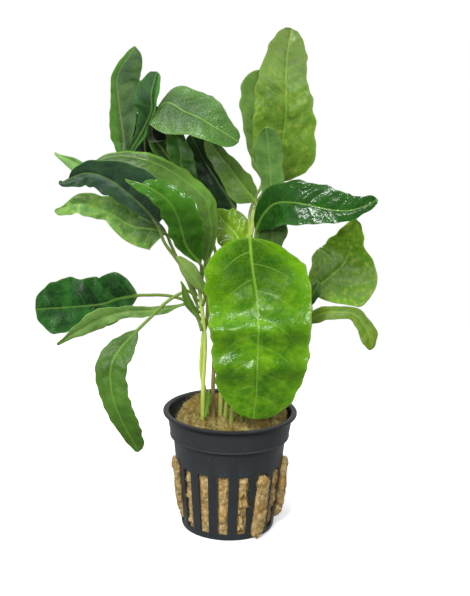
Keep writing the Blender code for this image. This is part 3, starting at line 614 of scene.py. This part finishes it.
def make_leaf(leaf, seed):
    route, blade_start = leaf_route(leaf)
    widest = max(leaf["left"]) + max(leaf["right"])
    rings = max(24, round(route.length / STEP_ALONG))
    sides = 4 * max(5, round(widest / STEP_ACROSS / 2))
    bm, points = closed_tube(sides, rings, BLADE_FIELDS)
    rest = rings - len(STALK_FOOT)
    stops = [part * STALK_RADIUS for part in STALK_FOOT]
    stops += [route.length * k / rest for k in range(rest + 1)]
    stations = [station(leaf, route, stop, blade_start) for stop in stops]
    layers = [bm.verts.layers.float[field] for field in BLADE_FIELDS]
    for vert, level, turn in points:
        place, numbers = leaf_point(leaf, stations[level], turn, seed)
        vert.co = place * MM
        for layer, number in zip(layers, numbers):
            vert[layer] = number
    return bm


def finish_piece(name, bm, material, replaced):
    """make a smooth piece of a bmesh, which stands for a solid of the model or for none"""
    for face in bm.faces:
        face.smooth = True
    piece = new_object(name, bm)
    piece.data.materials.append(material)
    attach(piece, "root")
    if replaced:
        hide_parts(replaced)
    return piece


print("fields on each leaf point:", ", ".join(BLADE_FIELDS))

# %% [markdown]
# ### Leaf tissue
# Living leaf: a waxy clear skin over green cells. It shines in small wet spots above and is matte
# below, and light passes through it a little. The veins carry no green, so they are paler, and a
# net of the finest ones, about 1.3 mm a mesh, gives the leather look between them. Green is
# uneven: yellow in clouds where the leaf ages, and other at a tip. Painted shade darkens the middle
# of some blades by the stalk and some tips, and painted light makes one margin of a few paler.

# %% Leaf finish
VEIN_NET_SIZE = 1.3
VEIN_GREEN = "#a9c66a"
# size in millimetres, detail and roughness of each noise
LEAF_NOISES = {"mottle": (7.0, 4.0, 0.6), "tone": (24.0, 1.0, 0.5), "cloud": (1.9, 2.0, 0.5),
               "grain": (0.7, 3.0, 0.5)}


def mid_colour(first, second, part):
    """colour a part of the way from one hex colour to another"""
    return [a + (b - a) * part for a, b in zip(colour(first), colour(second))]


def leaf_finish(name, leaf, seed):
    material, node, shade = new_material("leaf_tissue_" + name)
    route, blade_start = leaf_route(leaf)
    end = route.length - blade_start
    body, patch, under = leaf["greens"].split()
    field = {f: node("Attribute", attribute_name=f).outputs["Fac"] for f in BLADE_FIELDS}
    along = field["along"]
    place = node("CombineXYZ", [field["across"], along, float(seed)])

    spots = {n: node("TexNoise", {"Vector": place, "Scale": 1 / size, "Detail": detail,
                                  "Roughness": rough})
             for n, (size, detail, rough) in LEAF_NOISES.items()}
    net = node("TexVoronoi", {"Vector": place, "Scale": 1 / VEIN_NET_SIZE},
               feature="DISTANCE_TO_EDGE")
    # side veins run where the vein field is a whole number
    off_vein = node("Math", [field["vein"], 0.5], operation="PINGPONG")
    off_vein = node("Math", [off_vein, leaf["vein_gap"]], **TIMES)
    edge = node("Math", [field["share"]], operation="ABSOLUTE")
    # the midrib tapers from the stalk to the tip
    reach = node("Math", [field["across"]], operation="ABSOLUTE")
    taper = node("MapRange", [along, 0, end, 1.0, 2.6])
    reach = node("Math", [reach, taper], **TIMES)

    # painted shade: the middle of the blade by the stalk is darkened; it is also less glossy
    length, depth, dry = leaf["heart"]
    # painted light: one margin of a few leaves is painted lighter, as if lit at a grazing angle
    side, start, light = leaf.get("strip", (0, 0, body))
    # a tip of another colour: the leaf's own green on centre_yellow, painted shade on right_tall and
    # left_arch
    old, aged = leaf.get("tip", (1, body))
    ranges = {
        # each mask: what it follows, where it is 0, where it is full, and how strong it gets
        "vein": (off_vein, 0.38, 0.08, 1),
        "inward": (edge, 0.95, 0.3, leaf["vein"]),
        "rib": (reach, 0.9, 0.3, leaf["rib"]),
        "net": (net, 0.2, 0.02, 1),
        "mottle": (spots["mottle"], 0.34, 0.7, 1),
        "outward": (edge, 0.45, 1.0, 0.6),
        "cloud": (spots["cloud"], 0.45, 0.85, leaf["clouds"]),
        "near": (along, length, 0.3 * length, 1),
        "middle": (edge, 1.0, 0.3, depth),
        "tip": (along, end - old, end, 0.75 if "tip" in leaf else 0),
        "strip": (node("Math", [field["share"], side], **TIMES), start, start + 0.2,
                  0.8 if "strip" in leaf else 0),
        "rim": (edge, 0.94, 0.99, 0.22),
        "stalk": (along, 3.0, -4.0, 0.7),
    }
    mask = {n: node("MapRange", [follows, none, full, 0, most], **SMOOTH)
            for n, (follows, none, full, most) in ranges.items()}
    vein = node("Math", [mask["vein"], mask["inward"]], **TIMES)
    heart = node("Math", [mask["near"], mask["middle"]], **TIMES)
    mottle = node("Math", [mask["mottle"], mask["outward"]], operation="MAXIMUM")
    tone = node("MapRange", [spots["tone"], 0.3, 0.7, 0.78, 1.25])

    # upper side: blotches, yellow clouds, painted shade by the stalk, a tip of another colour that is
    # painted shade on some leaves, and veins that stand out less on a dark leaf
    pale = mid_colour(patch, VEIN_GREEN, min(0.4, 1.1 * sum(colour(patch)[:3])))
    fine = node("Math", [mask["net"], 0.08], **TIMES)
    top = colour(body)
    for share, over, how in ((mottle, colour(patch), MIX), (mask["cloud"], colour("#aab840"), MIX),
                             (1.0, tone, TINT), (heart, mid_colour(body, "#0a2408", 0.8), MIX),
                             (mask["tip"], colour(aged), MIX), (fine, pale, MIX),
                             (vein, pale, MIX)):
        top = node("Mix", {0: share, 6: top, 7: over}, **how)

    # under side: duller, with its own pale veins and a faint net
    faded = mid_colour(under, VEIN_GREEN, 0.3)
    fine = node("Math", [mask["net"], 0.15], **TIMES)
    low = colour(under)
    for share, over in ((mottle, mid_colour(under, body, 0.35)), (fine, faded), (vein, faded)):
        low = node("Mix", {0: share, 6: low, 7: over}, **MIX)

    # both sides: the midrib, a margin painted lighter as if lit, a pale rim and a paler stalk
    skin = top
    for share, over in ((field["under"], low), (mask["rib"], mid_colour(patch, "#93b84c", 0.5)),
                        (mask["strip"], colour(light)), (mask["rim"], pale),
                        (mask["stalk"], mid_colour(patch, "#8fa347", 0.6))):
        skin = node("Mix", {0: share, 6: skin, 7: over}, **MIX)

    rough = node("MapRange", [spots["grain"], 0.3, 0.7, leaf["rough"] - 0.03,
                              leaf["rough"] + 0.05])
    rough = node("Math", [field["under"], 0.22, rough], **TIMES_PLUS)
    rough = node("Math", [heart, 0.2, rough], **TIMES_PLUS)
    relief = node("Math", [mask["net"], -0.6, spots["grain"]], **TIMES_PLUS)
    shade({
        "Base Color": skin,
        "Roughness": rough,
        "Normal": node("Bump", {"Height": relief, "Strength": leaf["leather"],
                                "Distance": 0.12 * MM}),
        "Specular IOR Level": node("Math", [mask["near"], -dry * leaf["gloss"], leaf["gloss"]],
                                   **TIMES_PLUS),
        "Subsurface Weight": 0.25,
        "Subsurface Radius": (0.6, 1.0, 0.2),
        "Subsurface Scale": 0.35 * MM,
    })
    return material


# %% Make all the leaves
for number, (name, leaf) in enumerate(LEAVES.items()):
    finish_piece("blade_" + name, make_leaf(leaf, number), leaf_finish(name, leaf, number),
                 "leaf_" + name)
print(len(LEAVES), "leaves")

# %% [markdown]
# ## The stems
# Soft round stems with painted shade where they leave the wool, pale yellow green above it and
# greener higher up, with faint ridges along them. A tapering tube follows each route.

# %% Stems
STEM_SIDES = 20
STEM_STEP = 0.8
STEM_RIDGES = 5
RIDGE_DEPTH = 0.03
# both ends are drawn in, so they look rounded
END_SHARE = 0.75


def stem_point(name, route, part, turn):
    along = route.heading(route.length * part)
    side = along.cross(Vector((0, 1, 0))).normalized()
    radius = stem_radius(name, part) * (1 - RIDGE_DEPTH + RIDGE_DEPTH * math.cos(STEM_RIDGES * turn))
    if part in (0, 1):
        radius *= END_SHARE
    way = side * math.cos(turn) + along.cross(side) * math.sin(turn)
    return route.at(route.length * part) + way * radius


def stem_finish(name, base):
    material, node, shade = new_material("stem_tissue_" + name)
    coords = node("TexCoord").outputs["Object"]
    stretch = node("Mapping", {"Vector": coords, "Scale": (1 / MM, 1 / MM, 0.12 / MM)})
    streak = node("TexNoise", {"Vector": stretch, "Scale": 1.4, "Detail": 3.0})
    streaks = node("MapRange", [streak, 0.35, 0.65], **SMOOTH)
    body = node("Mix", {0: streaks, 6: colour(base), 7: [0.82 * c for c in colour(base)]}, **MIX)
    height = node("SeparateXYZ", [coords]).outputs["Z"]
    greener = node("MapRange", [height, 70 * MM, 120 * MM, 0, 0.35], **SMOOTH)
    body = node("Mix", {0: greener, 6: body, 7: colour("#84a43c")}, **MIX)
    # painted shade: the stems are darker where they leave the wool
    shaded = node("MapRange", [height, 50 * MM, 66 * MM, 0.68, 1.0])
    shade({
        "Base Color": node("Mix", {0: 1.0, 6: body, 7: shaded}, **TINT),
        "Roughness": 0.3,
        "Normal": node("Bump", {"Height": streak, "Strength": 0.3, "Distance": 0.2 * MM}),
        "Subsurface Weight": 0.2,
        "Subsurface Radius": (0.8, 1.0, 0.3),
        "Subsurface Scale": MM,
    })
    return material


for name, stem in STEMS.items():
    route = stem_route(name)
    tube = pressed_tube(STEM_SIDES, round(route.length / STEM_STEP), partial(stem_point, name, route))
    finish_piece("stalk_" + name, tube, stem_finish(name, stem[2]), "stem_" + name)
print(len(STEMS), "stems")

# %% [markdown]
# ## The rockwool plug
# Rockwool is basalt melted and spun to fibres, pressed to a plug. It is matte and crumbly, and it
# swells out through the slots of the pot. One closed tube makes it: the points run up the inside
# of the wall and over the crown, and they move out only where a slot lets them.

# %% Plug and slot sizes, in millimetres
COLLAR_FOOT_RADIUS = 24.2
COLLAR_FOOT_Z = 39.4
BODY_TOP_RADIUS = 23.0
BODY_TOP_Z = 38.4
BASE_RADIUS = 19.2
BASE_ROUND = 1.0
WALL = 0.9
SLOT_COUNT = 16
SLOT_TURN = 16.9
SLOT_FOOT_Z = 2.8
SLOT_TOP_Z = 28.6
SLOT_FOOT_WIDTH = 3.9
SLOT_TOP_WIDTH = 4.7
SLOT_CORNER = 0.6
BASE_SLOT_COUNT = 8
BASE_SLOT = (7.0, 15.0, 3.0)

WOOL_SIDES = 480
WOOL_STEP = 0.44
WOOL_PATH = [(0.4, 1.3), (16.5, 1.3), (17.9, 2.0), (21.4, 38.0), (22.8, 41.0), (23.7, 44.5),
             (24.1, 47.4), (22.3, 48.6), (18.0, 48.8), (10.0, 49.0), (0.4, 49.0)]
WOOL_ROUTE = Route([(r, 0, z) for r, z in WOOL_PATH], fine=1)
CROWN_Z = 44
# how far the wool swells out of each slot, counted from the one at SLOT_TURN
BULGES = {0: 0.9, 1: 2.0, 2: 0.9, 3: 4.0, 4: 4.4, 5: 0.4, 7: 1.2, 9: 0.6, 11: 2.4, 12: 2.2, 13: 0.3}
# slots where the wool is torn to loose lumps
TORN = {0: 2.6, 2: 1.8, 6: 1.6, 11: 1.8, 13: 1.7}
# lumps on the crown: place, radius and height
LUMPS = [((-13, 14), 6, 2.4), ((-16, 6), 4, 1.6), ((19, 11), 5, 3.4), ((20, 3), 4, 2.2),
         ((6, 16), 8, 0.8), ((-21, -3), 5, -2.6), ((-9, -18), 5, -0.8), ((10, -12), 5, 0.9),
         ((17, -8), 4, 1.2), ((-12, -3), 4, 0.7)]
TEAR_HEIGHT = 1.1
# the wool's swell ends this far from the sides of a slot, and falls off over this width
SLOT_CLEAR = 0.15
SLOT_EDGE = 0.5
CRACK_PLACE = Vector((5, 2, 0))
CRACK_DEPTH = 2.4
# the wool has shrunk away from the wall, most of all at the back left
GAP_SIDE = Vector((-0.85, 0.5, 0))
GAP_LEAST = 0.5
GAP_MORE = 2.6


def wall_radius(z):
    """outer radius of the slotted wall at a height"""
    part = (z - BASE_ROUND) / (BODY_TOP_Z - BASE_ROUND)
    return BASE_RADIUS + (BODY_TOP_RADIUS - BASE_RADIUS) * part


def slot_angle(k):
    return math.radians(SLOT_TURN + 360 / SLOT_COUNT * k)


def ways_at(angle):
    """directions out of the pot and to the right, at an angle from the front"""
    return (Vector((math.sin(angle), -math.cos(angle), 0)),
            Vector((math.cos(angle), math.sin(angle), 0)))


def part_at(z):
    """the part of the plug's path at which the wall has a height"""
    whole = WOOL_ROUTE.length
    return WOOL_ROUTE.climb(z, 0.2 * whole, 0.62 * whole, 0.0005 * whole) / whole


def crumple(place, *waves):
    """sum of noises at a place, each given by its height and how often it swings"""
    return sum(height * noise.noise(place * often) for height, often in waves)


# %% Plug surface
def slot_swell(angle, z):
    """how far the wool stands out of the wall's inside at an angle and height"""
    turn = (math.degrees(angle) - SLOT_TURN) % 360 / 360 * SLOT_COUNT
    k = round(turn) % SLOT_COUNT
    off = abs((turn + 0.5) % 1 - 0.5) * math.tau / SLOT_COUNT * wall_radius(z)
    part = (z - SLOT_FOOT_Z) / (SLOT_TOP_Z - SLOT_FOOT_Z)
    half = (SLOT_FOOT_WIDTH + (SLOT_TOP_WIDTH - SLOT_FOOT_WIDTH) * part) / 2 - SLOT_CLEAR
    inside = (1 - ramp(off, half - SLOT_EDGE, half)) * ramp(z, SLOT_FOOT_Z + 1.1, SLOT_FOOT_Z + 2.2) \
        * (1 - ramp(z, SLOT_TOP_Z - 1.2, SLOT_TOP_Z - 0.2))
    lump = crumple(Vector((k * 7.3, off * 0.4, z * 0.19)), (1, 1), (0.5, 2.7))
    crown = 1 - 0.35 * (2 * part - 1) ** 2 if k in BULGES else 1
    return inside * (WALL * 0.7 + BULGES.get(k, 0.0) * crown + TEAR_HEIGHT * TORN.get(k, 1.0) * lump)


def wool_point(part, angle):
    """a point of the plug at a part of the way up and over it, and an angle from the front"""
    spot = WOOL_ROUTE.at(WOOL_ROUTE.length * part)
    radius, z = spot.x, spot.z
    out = ways_at(angle)[0]
    place = out * radius + Vector((0, 0, z))
    rough = crumple(place, (1, 0.55), (0.6, 1.5), (0.4, 3.4))
    if z > CROWN_Z and part > 0.5:
        for (x, y), size, height in LUMPS:
            far = ((place.x - x) ** 2 + (place.y - y) ** 2) / size ** 2
            place.z += height * math.exp(-far)
        place.z += crumple(place, (2.2, 0.28), (1.6, 0.75)) + 0.8 * rough
        place.z -= CRACK_DEPTH * ramp(noise.noise(place * 0.4 + CRACK_PLACE), 0.16, 0.4)
        gap = GAP_LEAST + GAP_MORE * max(0.0, out.dot(GAP_SIDE)) ** 2 + 0.6 * rough
        place -= out * gap * ramp(radius, 19, 22)
    elif z > 2.2:
        swell = slot_swell(angle, z)
        place += out * (swell - 0.3 - 0.3 * abs(rough) + 0.45 * rough * ramp(swell, 0.0, 0.6))
        if radius + swell > wall_radius(z):
            place.z += 0.25 * rough
    return place


print("way up and over the plug, in mm:", round(WOOL_ROUTE.length), "crown starts at",
      round(part_at(CROWN_Z), 2))

# %% [markdown]
# ### Mineral fibre
# Bare rockwool is tan where it is clean, and green algae and peat stain it olive and brown. It
# scatters light in every direction, so it is fully rough, with a fleck at each crumb.

# %% Wool finish
STAIN_SIZE = 6.0
CRUMB_SIZE = 1.7
FIBRE_SIZE = 0.35


def wool_finish(name, light, dark, stain, shade_colour):
    """clean wool from dark to light, stained all over, and with a shade on the crown"""
    material, node, shade = new_material(name)
    coords = node("TexCoord").outputs["Object"]
    crumbs = node("TexNoise", {"Vector": coords, "Scale": 1 / (CRUMB_SIZE * MM), "Detail": 5.0,
                               "Roughness": 0.7})
    clean = node("MapRange", [crumbs, 0.36, 0.62], **SMOOTH)
    stains = node("TexNoise", {"Vector": coords, "Scale": 1 / (STAIN_SIZE * MM), "Detail": 4.0,
                               "Roughness": 0.65})
    stains = node("MapRange", [stains, 0.48, 0.62, 0, 0.7], **SMOOTH)
    fine = node("TexNoise", {"Vector": coords, "Scale": 1 / (FIBRE_SIZE * MM), "Detail": 2.0,
                             "Distortion": 1.5})
    thread = node("MapRange", [fine, 0.56, 0.7, 0, 0.35], **SMOOTH)
    body = colour(dark)
    for share, over in ((clean, light), (stains, stain), (thread, "#d9c28b")):
        body = node("Mix", {0: share, 6: body, 7: colour(over)}, **MIX)
    height = node("SeparateXYZ", [coords]).outputs["Z"]
    crown = node("MapRange", [height, 40 * MM, 46 * MM])
    relief = node("Math", [fine, 0.5, crumbs], **TIMES_PLUS)
    shade({
        "Base Color": node("Mix", {0: crown, 6: body, 7: colour(shade_colour)}, **TINT),
        "Roughness": 0.95,
        "Normal": node("Bump", {"Height": relief, "Strength": 0.8, "Distance": 0.5 * MM}),
        "Specular IOR Level": 0.2,
    })
    return material


wool_material = wool_finish("mineral_fibre", "#c9b07b", "#8d7446", "#a57d40", "#bdc7b2")
plug = pressed_tube(WOOL_SIDES, round(WOOL_ROUTE.length / WOOL_STEP), wool_point)
finish_piece("wool_plug", plug, wool_material, "rockwool")
print("stains", STAIN_SIZE, "mm, crumbs", CRUMB_SIZE, "mm, fibres", FIBRE_SIZE, "mm")

# %% [markdown]
# ### Wool flaps
# Where the plug was pressed hardest, a strip of wool has slid out of its slot and hangs over the
# ribs at both sides. Each flap is a flat tube that follows the wall and is rough all over.

# %% Flaps outside the wall
FLAP_SIDES = 72
FLAP_STEP = 0.35
FLAPS = {
    # slot: top and foot height, width, thickness, lean sideways at the foot
    1: (27.8, 1.0, 5.4, 2.6, -1.3),
    3: (30.5, 8.5, 5.2, 3.2, 0.8),
    12: (30.0, 12.0, 4.0, 2.0, 0.8),
}


def flap_point(k, part, turn):
    """a point of a flap at a part of the way down it and a turn around it, and the way out"""
    top, foot, width, thick, lean = FLAPS[k]
    out, side = ways_at(slot_angle(k))
    z = top + (foot - top) * part
    round_off = max(0.03, 1 - abs(2 * part - 1) ** 12) ** 0.5
    half = (width / 2 + 0.6 * noise.noise(Vector((k, z * 0.3, 0)))) * round_off
    middle = wall_radius(z) + thick * (0.22 + 0.2 * part)
    across, depth = math.cos(turn), math.sin(turn)
    way = out * depth + side * across
    # the corners of the section are filled out, so the strip has a flat face
    corner = 1 / max(abs(across), abs(depth)) ** 0.6
    place = out * (middle + depth * corner * thick / 2 * round_off) \
        + side * (across * corner * half + lean * part * part) + Vector((0, 0, z))
    rough = crumple(place, (0.5, 0.45), (0.35, 1.3), (0.35, 3.6))
    ragged = 1.6 * noise.noise(Vector((across * 2.5, k, 9 * part))) * part ** 6
    return place + way * 0.7 * rough + Vector((0, 0, ragged)), way


for k, (top, foot, *_) in FLAPS.items():
    flap = pressed_tube(FLAP_SIDES, round((top - foot) / FLAP_STEP),
                        lambda part, turn: flap_point(k, part, turn)[0])
    finish_piece(f"wool_flap_{k}", flap, wool_material, None)
print(len(FLAPS), "flaps")

# %% [markdown]
# ### Loose fibres
# Short threads stick out of the plug and blur its edge. Each is a thin curled line, given a
# round bevel and then made a mesh. They start on the plug's own surface.

# %% Loose fibres
FIBRE_RADIUS = 0.045
# from the shortest to the longest thread
SHORT_THREADS = (0.6, 2.2)
LONG_THREADS = (2.5, 5)
LONG_PART = 0.07
SLOT_THREADS = (0.4, 1.3)
FLAP_THREADS = (0.4, 1.6)


def bake(*passing):
    """bmesh of the first of some passing objects, as its bevel or its modifier makes it"""
    made = passing[0].evaluated_get(bpy.context.evaluated_depsgraph_get())
    bm = bmesh.new()
    bm.from_mesh(bpy.data.meshes.new_from_object(made))
    for piece in passing:
        bpy.data.objects.remove(piece, do_unlink=True)
    return bm


def make_fibres(name, threads):
    curve = bpy.data.curves.new(name, "CURVE")
    curve.dimensions = "3D"
    curve.bevel_depth = FIBRE_RADIUS * MM
    curve.bevel_resolution = 0
    for points in threads:
        line = curve.splines.new("POLY")
        line.points.add(len(points) - 1)
        for k, point in enumerate(points):
            line.points[k].co = (*(point * MM), 1)
            line.points[k].radius = 1 - 0.2 * k
    lines = bpy.data.objects.new(name + "_lines", curve)
    bpy.context.collection.objects.link(lines)
    return bake(lines)


def curl(start, way, outward, length, rng):
    """points of a short bent thread that leaves a surface at a low angle"""
    bend = Vector([rng.uniform(-1, 1) for _ in range(3)]) * 0.5
    lean = rng.uniform(0.1, 0.55)
    return [start + way * (length * s) + outward * (length * lean * s * (1.3 - s))
            + bend * (length * s * s) for s in (0, 0.35, 0.7, 1)]


def crown_thread(rng):
    part = rng.uniform(part_at(CROWN_Z), 1)
    if rng.random() > WOOL_ROUTE.at(WOOL_ROUTE.length * part).x / 23:
        return None
    place = wool_point(part, rng.uniform(0, math.tau))
    turn = rng.uniform(0, math.tau)
    way = Vector((math.cos(turn), math.sin(turn), 0.1))
    length = rng.uniform(*(LONG_THREADS if rng.random() < LONG_PART else SHORT_THREADS))
    thread = curl(place, way, Vector((0, 0, 1)), length, rng)
    inside = max(math.hypot(point.x, point.y) for point in thread) < COLLAR_FOOT_RADIUS - 1.2
    return thread if inside else None


def slot_thread(rng):
    k = rng.randrange(SLOT_COUNT)
    z = rng.uniform(SLOT_FOOT_Z + 0.5, SLOT_TOP_Z - 0.5)
    angle = slot_angle(k) + rng.uniform(-2, 2) / wall_radius(z)
    if slot_swell(angle, z) < WALL or rng.random() > 0.35 + BULGES.get(k, 0):
        return None
    out, side = ways_at(angle)
    turn = rng.uniform(0, math.tau)
    way = side * math.cos(turn) + Vector((0, 0, math.sin(turn)))
    return curl(wool_point(part_at(z), angle), way, out, rng.uniform(*SLOT_THREADS), rng)


def flap_thread(rng):
    k = rng.choice(list(FLAPS))
    place, way = flap_point(k, rng.uniform(0.01, 0.99), rng.uniform(-0.5, math.pi + 0.5))
    turn = rng.uniform(0, math.tau)
    along = way.cross(Vector((0, 0, 1))) * math.cos(turn) + Vector((0, 0, math.sin(turn)))
    return curl(place, along, way, rng.uniform(*FLAP_THREADS), rng)


# where threads grow: how many, the seed, and what makes one or turns a place down
FUZZ = {"crown": (6000, 7, crown_thread), "slots": (4200, 11, slot_thread),
        "flaps": (2600, 17, flap_thread)}

thread_material = wool_finish("spun_mineral_thread", "#d2ba86", "#968250", "#b08c4c", "#dcdcc6")
for place, (count, seed, make_thread) in FUZZ.items():
    rng = random.Random(seed)
    threads = []
    while len(threads) < count:
        thread = make_thread(rng)
        if thread:
            threads.append(thread)
    finish_piece("wool_fuzz_" + place, make_fibres(place, threads), thread_material, None)
    print(place, "has", len(threads), "threads")

# %% [markdown]
# ## The net pot
# A net pot is injection moulded in polypropylene: one thin turned wall with a rolled lip, a
# collar and a ring of slots. A spun profile makes the wall, and one boolean cut with all the
# slots keeps every rib the same.

# %% Pot shape
POT_SIDES = 192
SHARP_ANGLE = 38
LIP_ROLL = [(24.9, 48.2), (25.1, 49.5), (25.5, 49.9), (26.3, 50.0), (27.1, 49.9), (27.45, 49.5),
            (27.45, 49.0), (27.1, 48.6), (26.3, 48.4), (25.7, 47.9)]


def pot_profile():
    inside = [(0.0, WALL), (BASE_RADIUS - WALL - 0.4, WALL), (BASE_RADIUS - WALL, WALL + 0.5),
              (BODY_TOP_RADIUS - WALL, BODY_TOP_Z), (COLLAR_FOOT_RADIUS - WALL, COLLAR_FOOT_Z)]
    collar = [(COLLAR_FOOT_RADIUS + out, COLLAR_FOOT_Z + up)
              for out, up in ((0.1, 0.6), (0.35, 0.3), (0.3, 0.0), (-0.3, -0.35))]
    outside = [(BODY_TOP_RADIUS + 0.2, BODY_TOP_Z), (BODY_TOP_RADIUS, BODY_TOP_Z - 0.4),
               (BASE_RADIUS, BASE_ROUND), (BASE_RADIUS - 0.3, 0.3),
               (BASE_RADIUS - BASE_ROUND, 0.0), (0.0, 0.0)]
    return inside + LIP_ROLL + collar + outside


def round_corners(bm, cube, along):
    """bevel the edges of a cutter that run along its cut"""
    edges = {e for v in cube for e in v.link_edges
             if abs(along.dot((e.verts[1].co - e.verts[0].co).normalized())) > 0.9}
    bmesh.ops.bevel(bm, geom=list(edges), offset=SLOT_CORNER, affect="EDGES", segments=3,
                    profile=0.5, material=-1)


def slot_cutters(bm):
    """add one rounded wedge for each slot of the wall and of the base"""
    up = Vector((0, 0, 1))
    for k in range(SLOT_COUNT):
        out, side = ways_at(slot_angle(k))
        cube = bmesh.ops.create_cube(bm, size=2)["verts"]
        for vert in cube:
            x, y, z = vert.co
            z, width = (SLOT_TOP_Z, SLOT_TOP_WIDTH) if z > 0 else (SLOT_FOOT_Z, SLOT_FOOT_WIDTH)
            reach = BODY_TOP_RADIUS + 4 if x > 0 else BASE_RADIUS - 5
            vert.co = out * reach + side * (y * width / 2) + up * z
        round_corners(bm, cube, out)
    inner, outer, width = BASE_SLOT
    for k in range(BASE_SLOT_COUNT):
        turned = Matrix.Rotation(math.tau * k / BASE_SLOT_COUNT - math.pi / 2, 3, "Z")
        cube = bmesh.ops.create_cube(bm, size=2)["verts"]
        for vert in cube:
            x, y, z = vert.co
            vert.co = turned @ Vector((outer if x > 0 else inner, y * width / 2, 2.5 * z))
        round_corners(bm, cube, up)


def make_pot():
    bm = bmesh.new()
    profile = [bm.verts.new((r, 0, z)) for r, z in pot_profile()]
    rim = [bm.edges.new(pair) for pair in zip(profile, profile[1:])]
    bmesh.ops.spin(bm, geom=profile + rim, cent=(0, 0, 0), axis=(0, 0, 1), angle=math.tau,
                   steps=POT_SIDES, use_merge=True)
    bmesh.ops.remove_doubles(bm, verts=bm.verts, dist=0.001)
    bmesh.ops.recalc_face_normals(bm, faces=bm.faces)
    cutter = bmesh.new()
    slot_cutters(cutter)
    for shape in (bm, cutter):
        bmesh.ops.scale(shape, verts=shape.verts, vec=(MM, MM, MM))
    wall, slots = [new_object("passing", shape) for shape in (bm, cutter)]
    boolean = wall.modifiers.new("slots", "BOOLEAN")
    boolean.object = slots
    boolean.solver = "EXACT"
    return bake(wall, slots)


print(SLOT_COUNT, "slots in the wall and", BASE_SLOT_COUNT, "in the base")

# %% [markdown]
# ### Moulded polypropylene
# Polypropylene with carbon black and a little blue: half glossy, with hair scratches and dark
# dust specks from handling. The scratches are stretched noise in the roughness.

# %% Pot finish
SHEEN_SIZE = 8
SCRATCH_SIZE = 0.5
DUST_SIZE = 1.6
LIP_FOOT_Z = 47.6


def pot_finish():
    material, node, shade = new_material("moulded_polypropylene")
    coords = node("TexCoord").outputs["Object"]
    dull = node("TexNoise", {"Vector": coords, "Scale": 1 / (SHEEN_SIZE * MM), "Detail": 3.0,
                             "Roughness": 0.6})
    tilt = node("Mapping", {"Vector": coords, "Rotation": (0.5, 0.3, 0.4),
                            "Scale": (1 / MM, 1 / MM, 0.06 / MM)})
    scratch = node("TexNoise", {"Vector": tilt, "Scale": 1 / SCRATCH_SIZE, "Detail": 3.0})
    scratch = node("MapRange", [scratch, 0.6, 0.72], **SMOOTH)
    faint = node("Math", [scratch, 0.2], **TIMES)
    # a cell of the pattern holds a speck where its own random number is high
    dust = node("TexVoronoi", {"Vector": coords, "Scale": 1 / (DUST_SIZE * MM)})
    size = node("SeparateColor", {"Color": dust.outputs["Color"]})
    size = node("Math", [size, 1.4, -1.2], **TIMES_PLUS)
    speck = node("Math", [dust, size], operation="LESS_THAN")
    # painted shade: the lip is darkened, so its top is no lighter than the wall under the light from
    # above; it is also glossier than the wall
    height = node("SeparateXYZ", [coords]).outputs["Z"]
    lip = node("MapRange", [height, LIP_FOOT_Z * MM, (LIP_FOOT_Z + 1) * MM])
    painted_lip_shade = node("Math", [lip, 0.6], **TIMES)
    body = colour("#2b2f32")
    for share, over in ((dull, "#363a3d"), (faint, "#5a5e62"), (speck, "#131415"),
                        (painted_lip_shade, "#0e1011")):
        body = node("Mix", {0: share, 6: body, 7: colour(over)}, **MIX)
    rough = node("MapRange", [dull, 0.35, 0.7, 0.34, 0.46])
    rough = node("Math", [lip, -0.16, rough], **TIMES_PLUS)
    rough = node("Math", [scratch, 0.15, rough], **TIMES_PLUS)
    shade({
        "Base Color": body,
        "Roughness": rough,
        "Normal": node("Bump", {"Height": dull, "Strength": 0.15, "Distance": 0.3 * MM}),
        "IOR": 1.49,
        "Specular IOR Level": 0.3,
    })
    return material


pot = finish_piece("net_pot", make_pot(), pot_finish(), "pot")
pot.data.set_sharp_from_angle(angle=math.radians(SHARP_ANGLE))
print("pot:", len(pot.data.polygons), "faces")
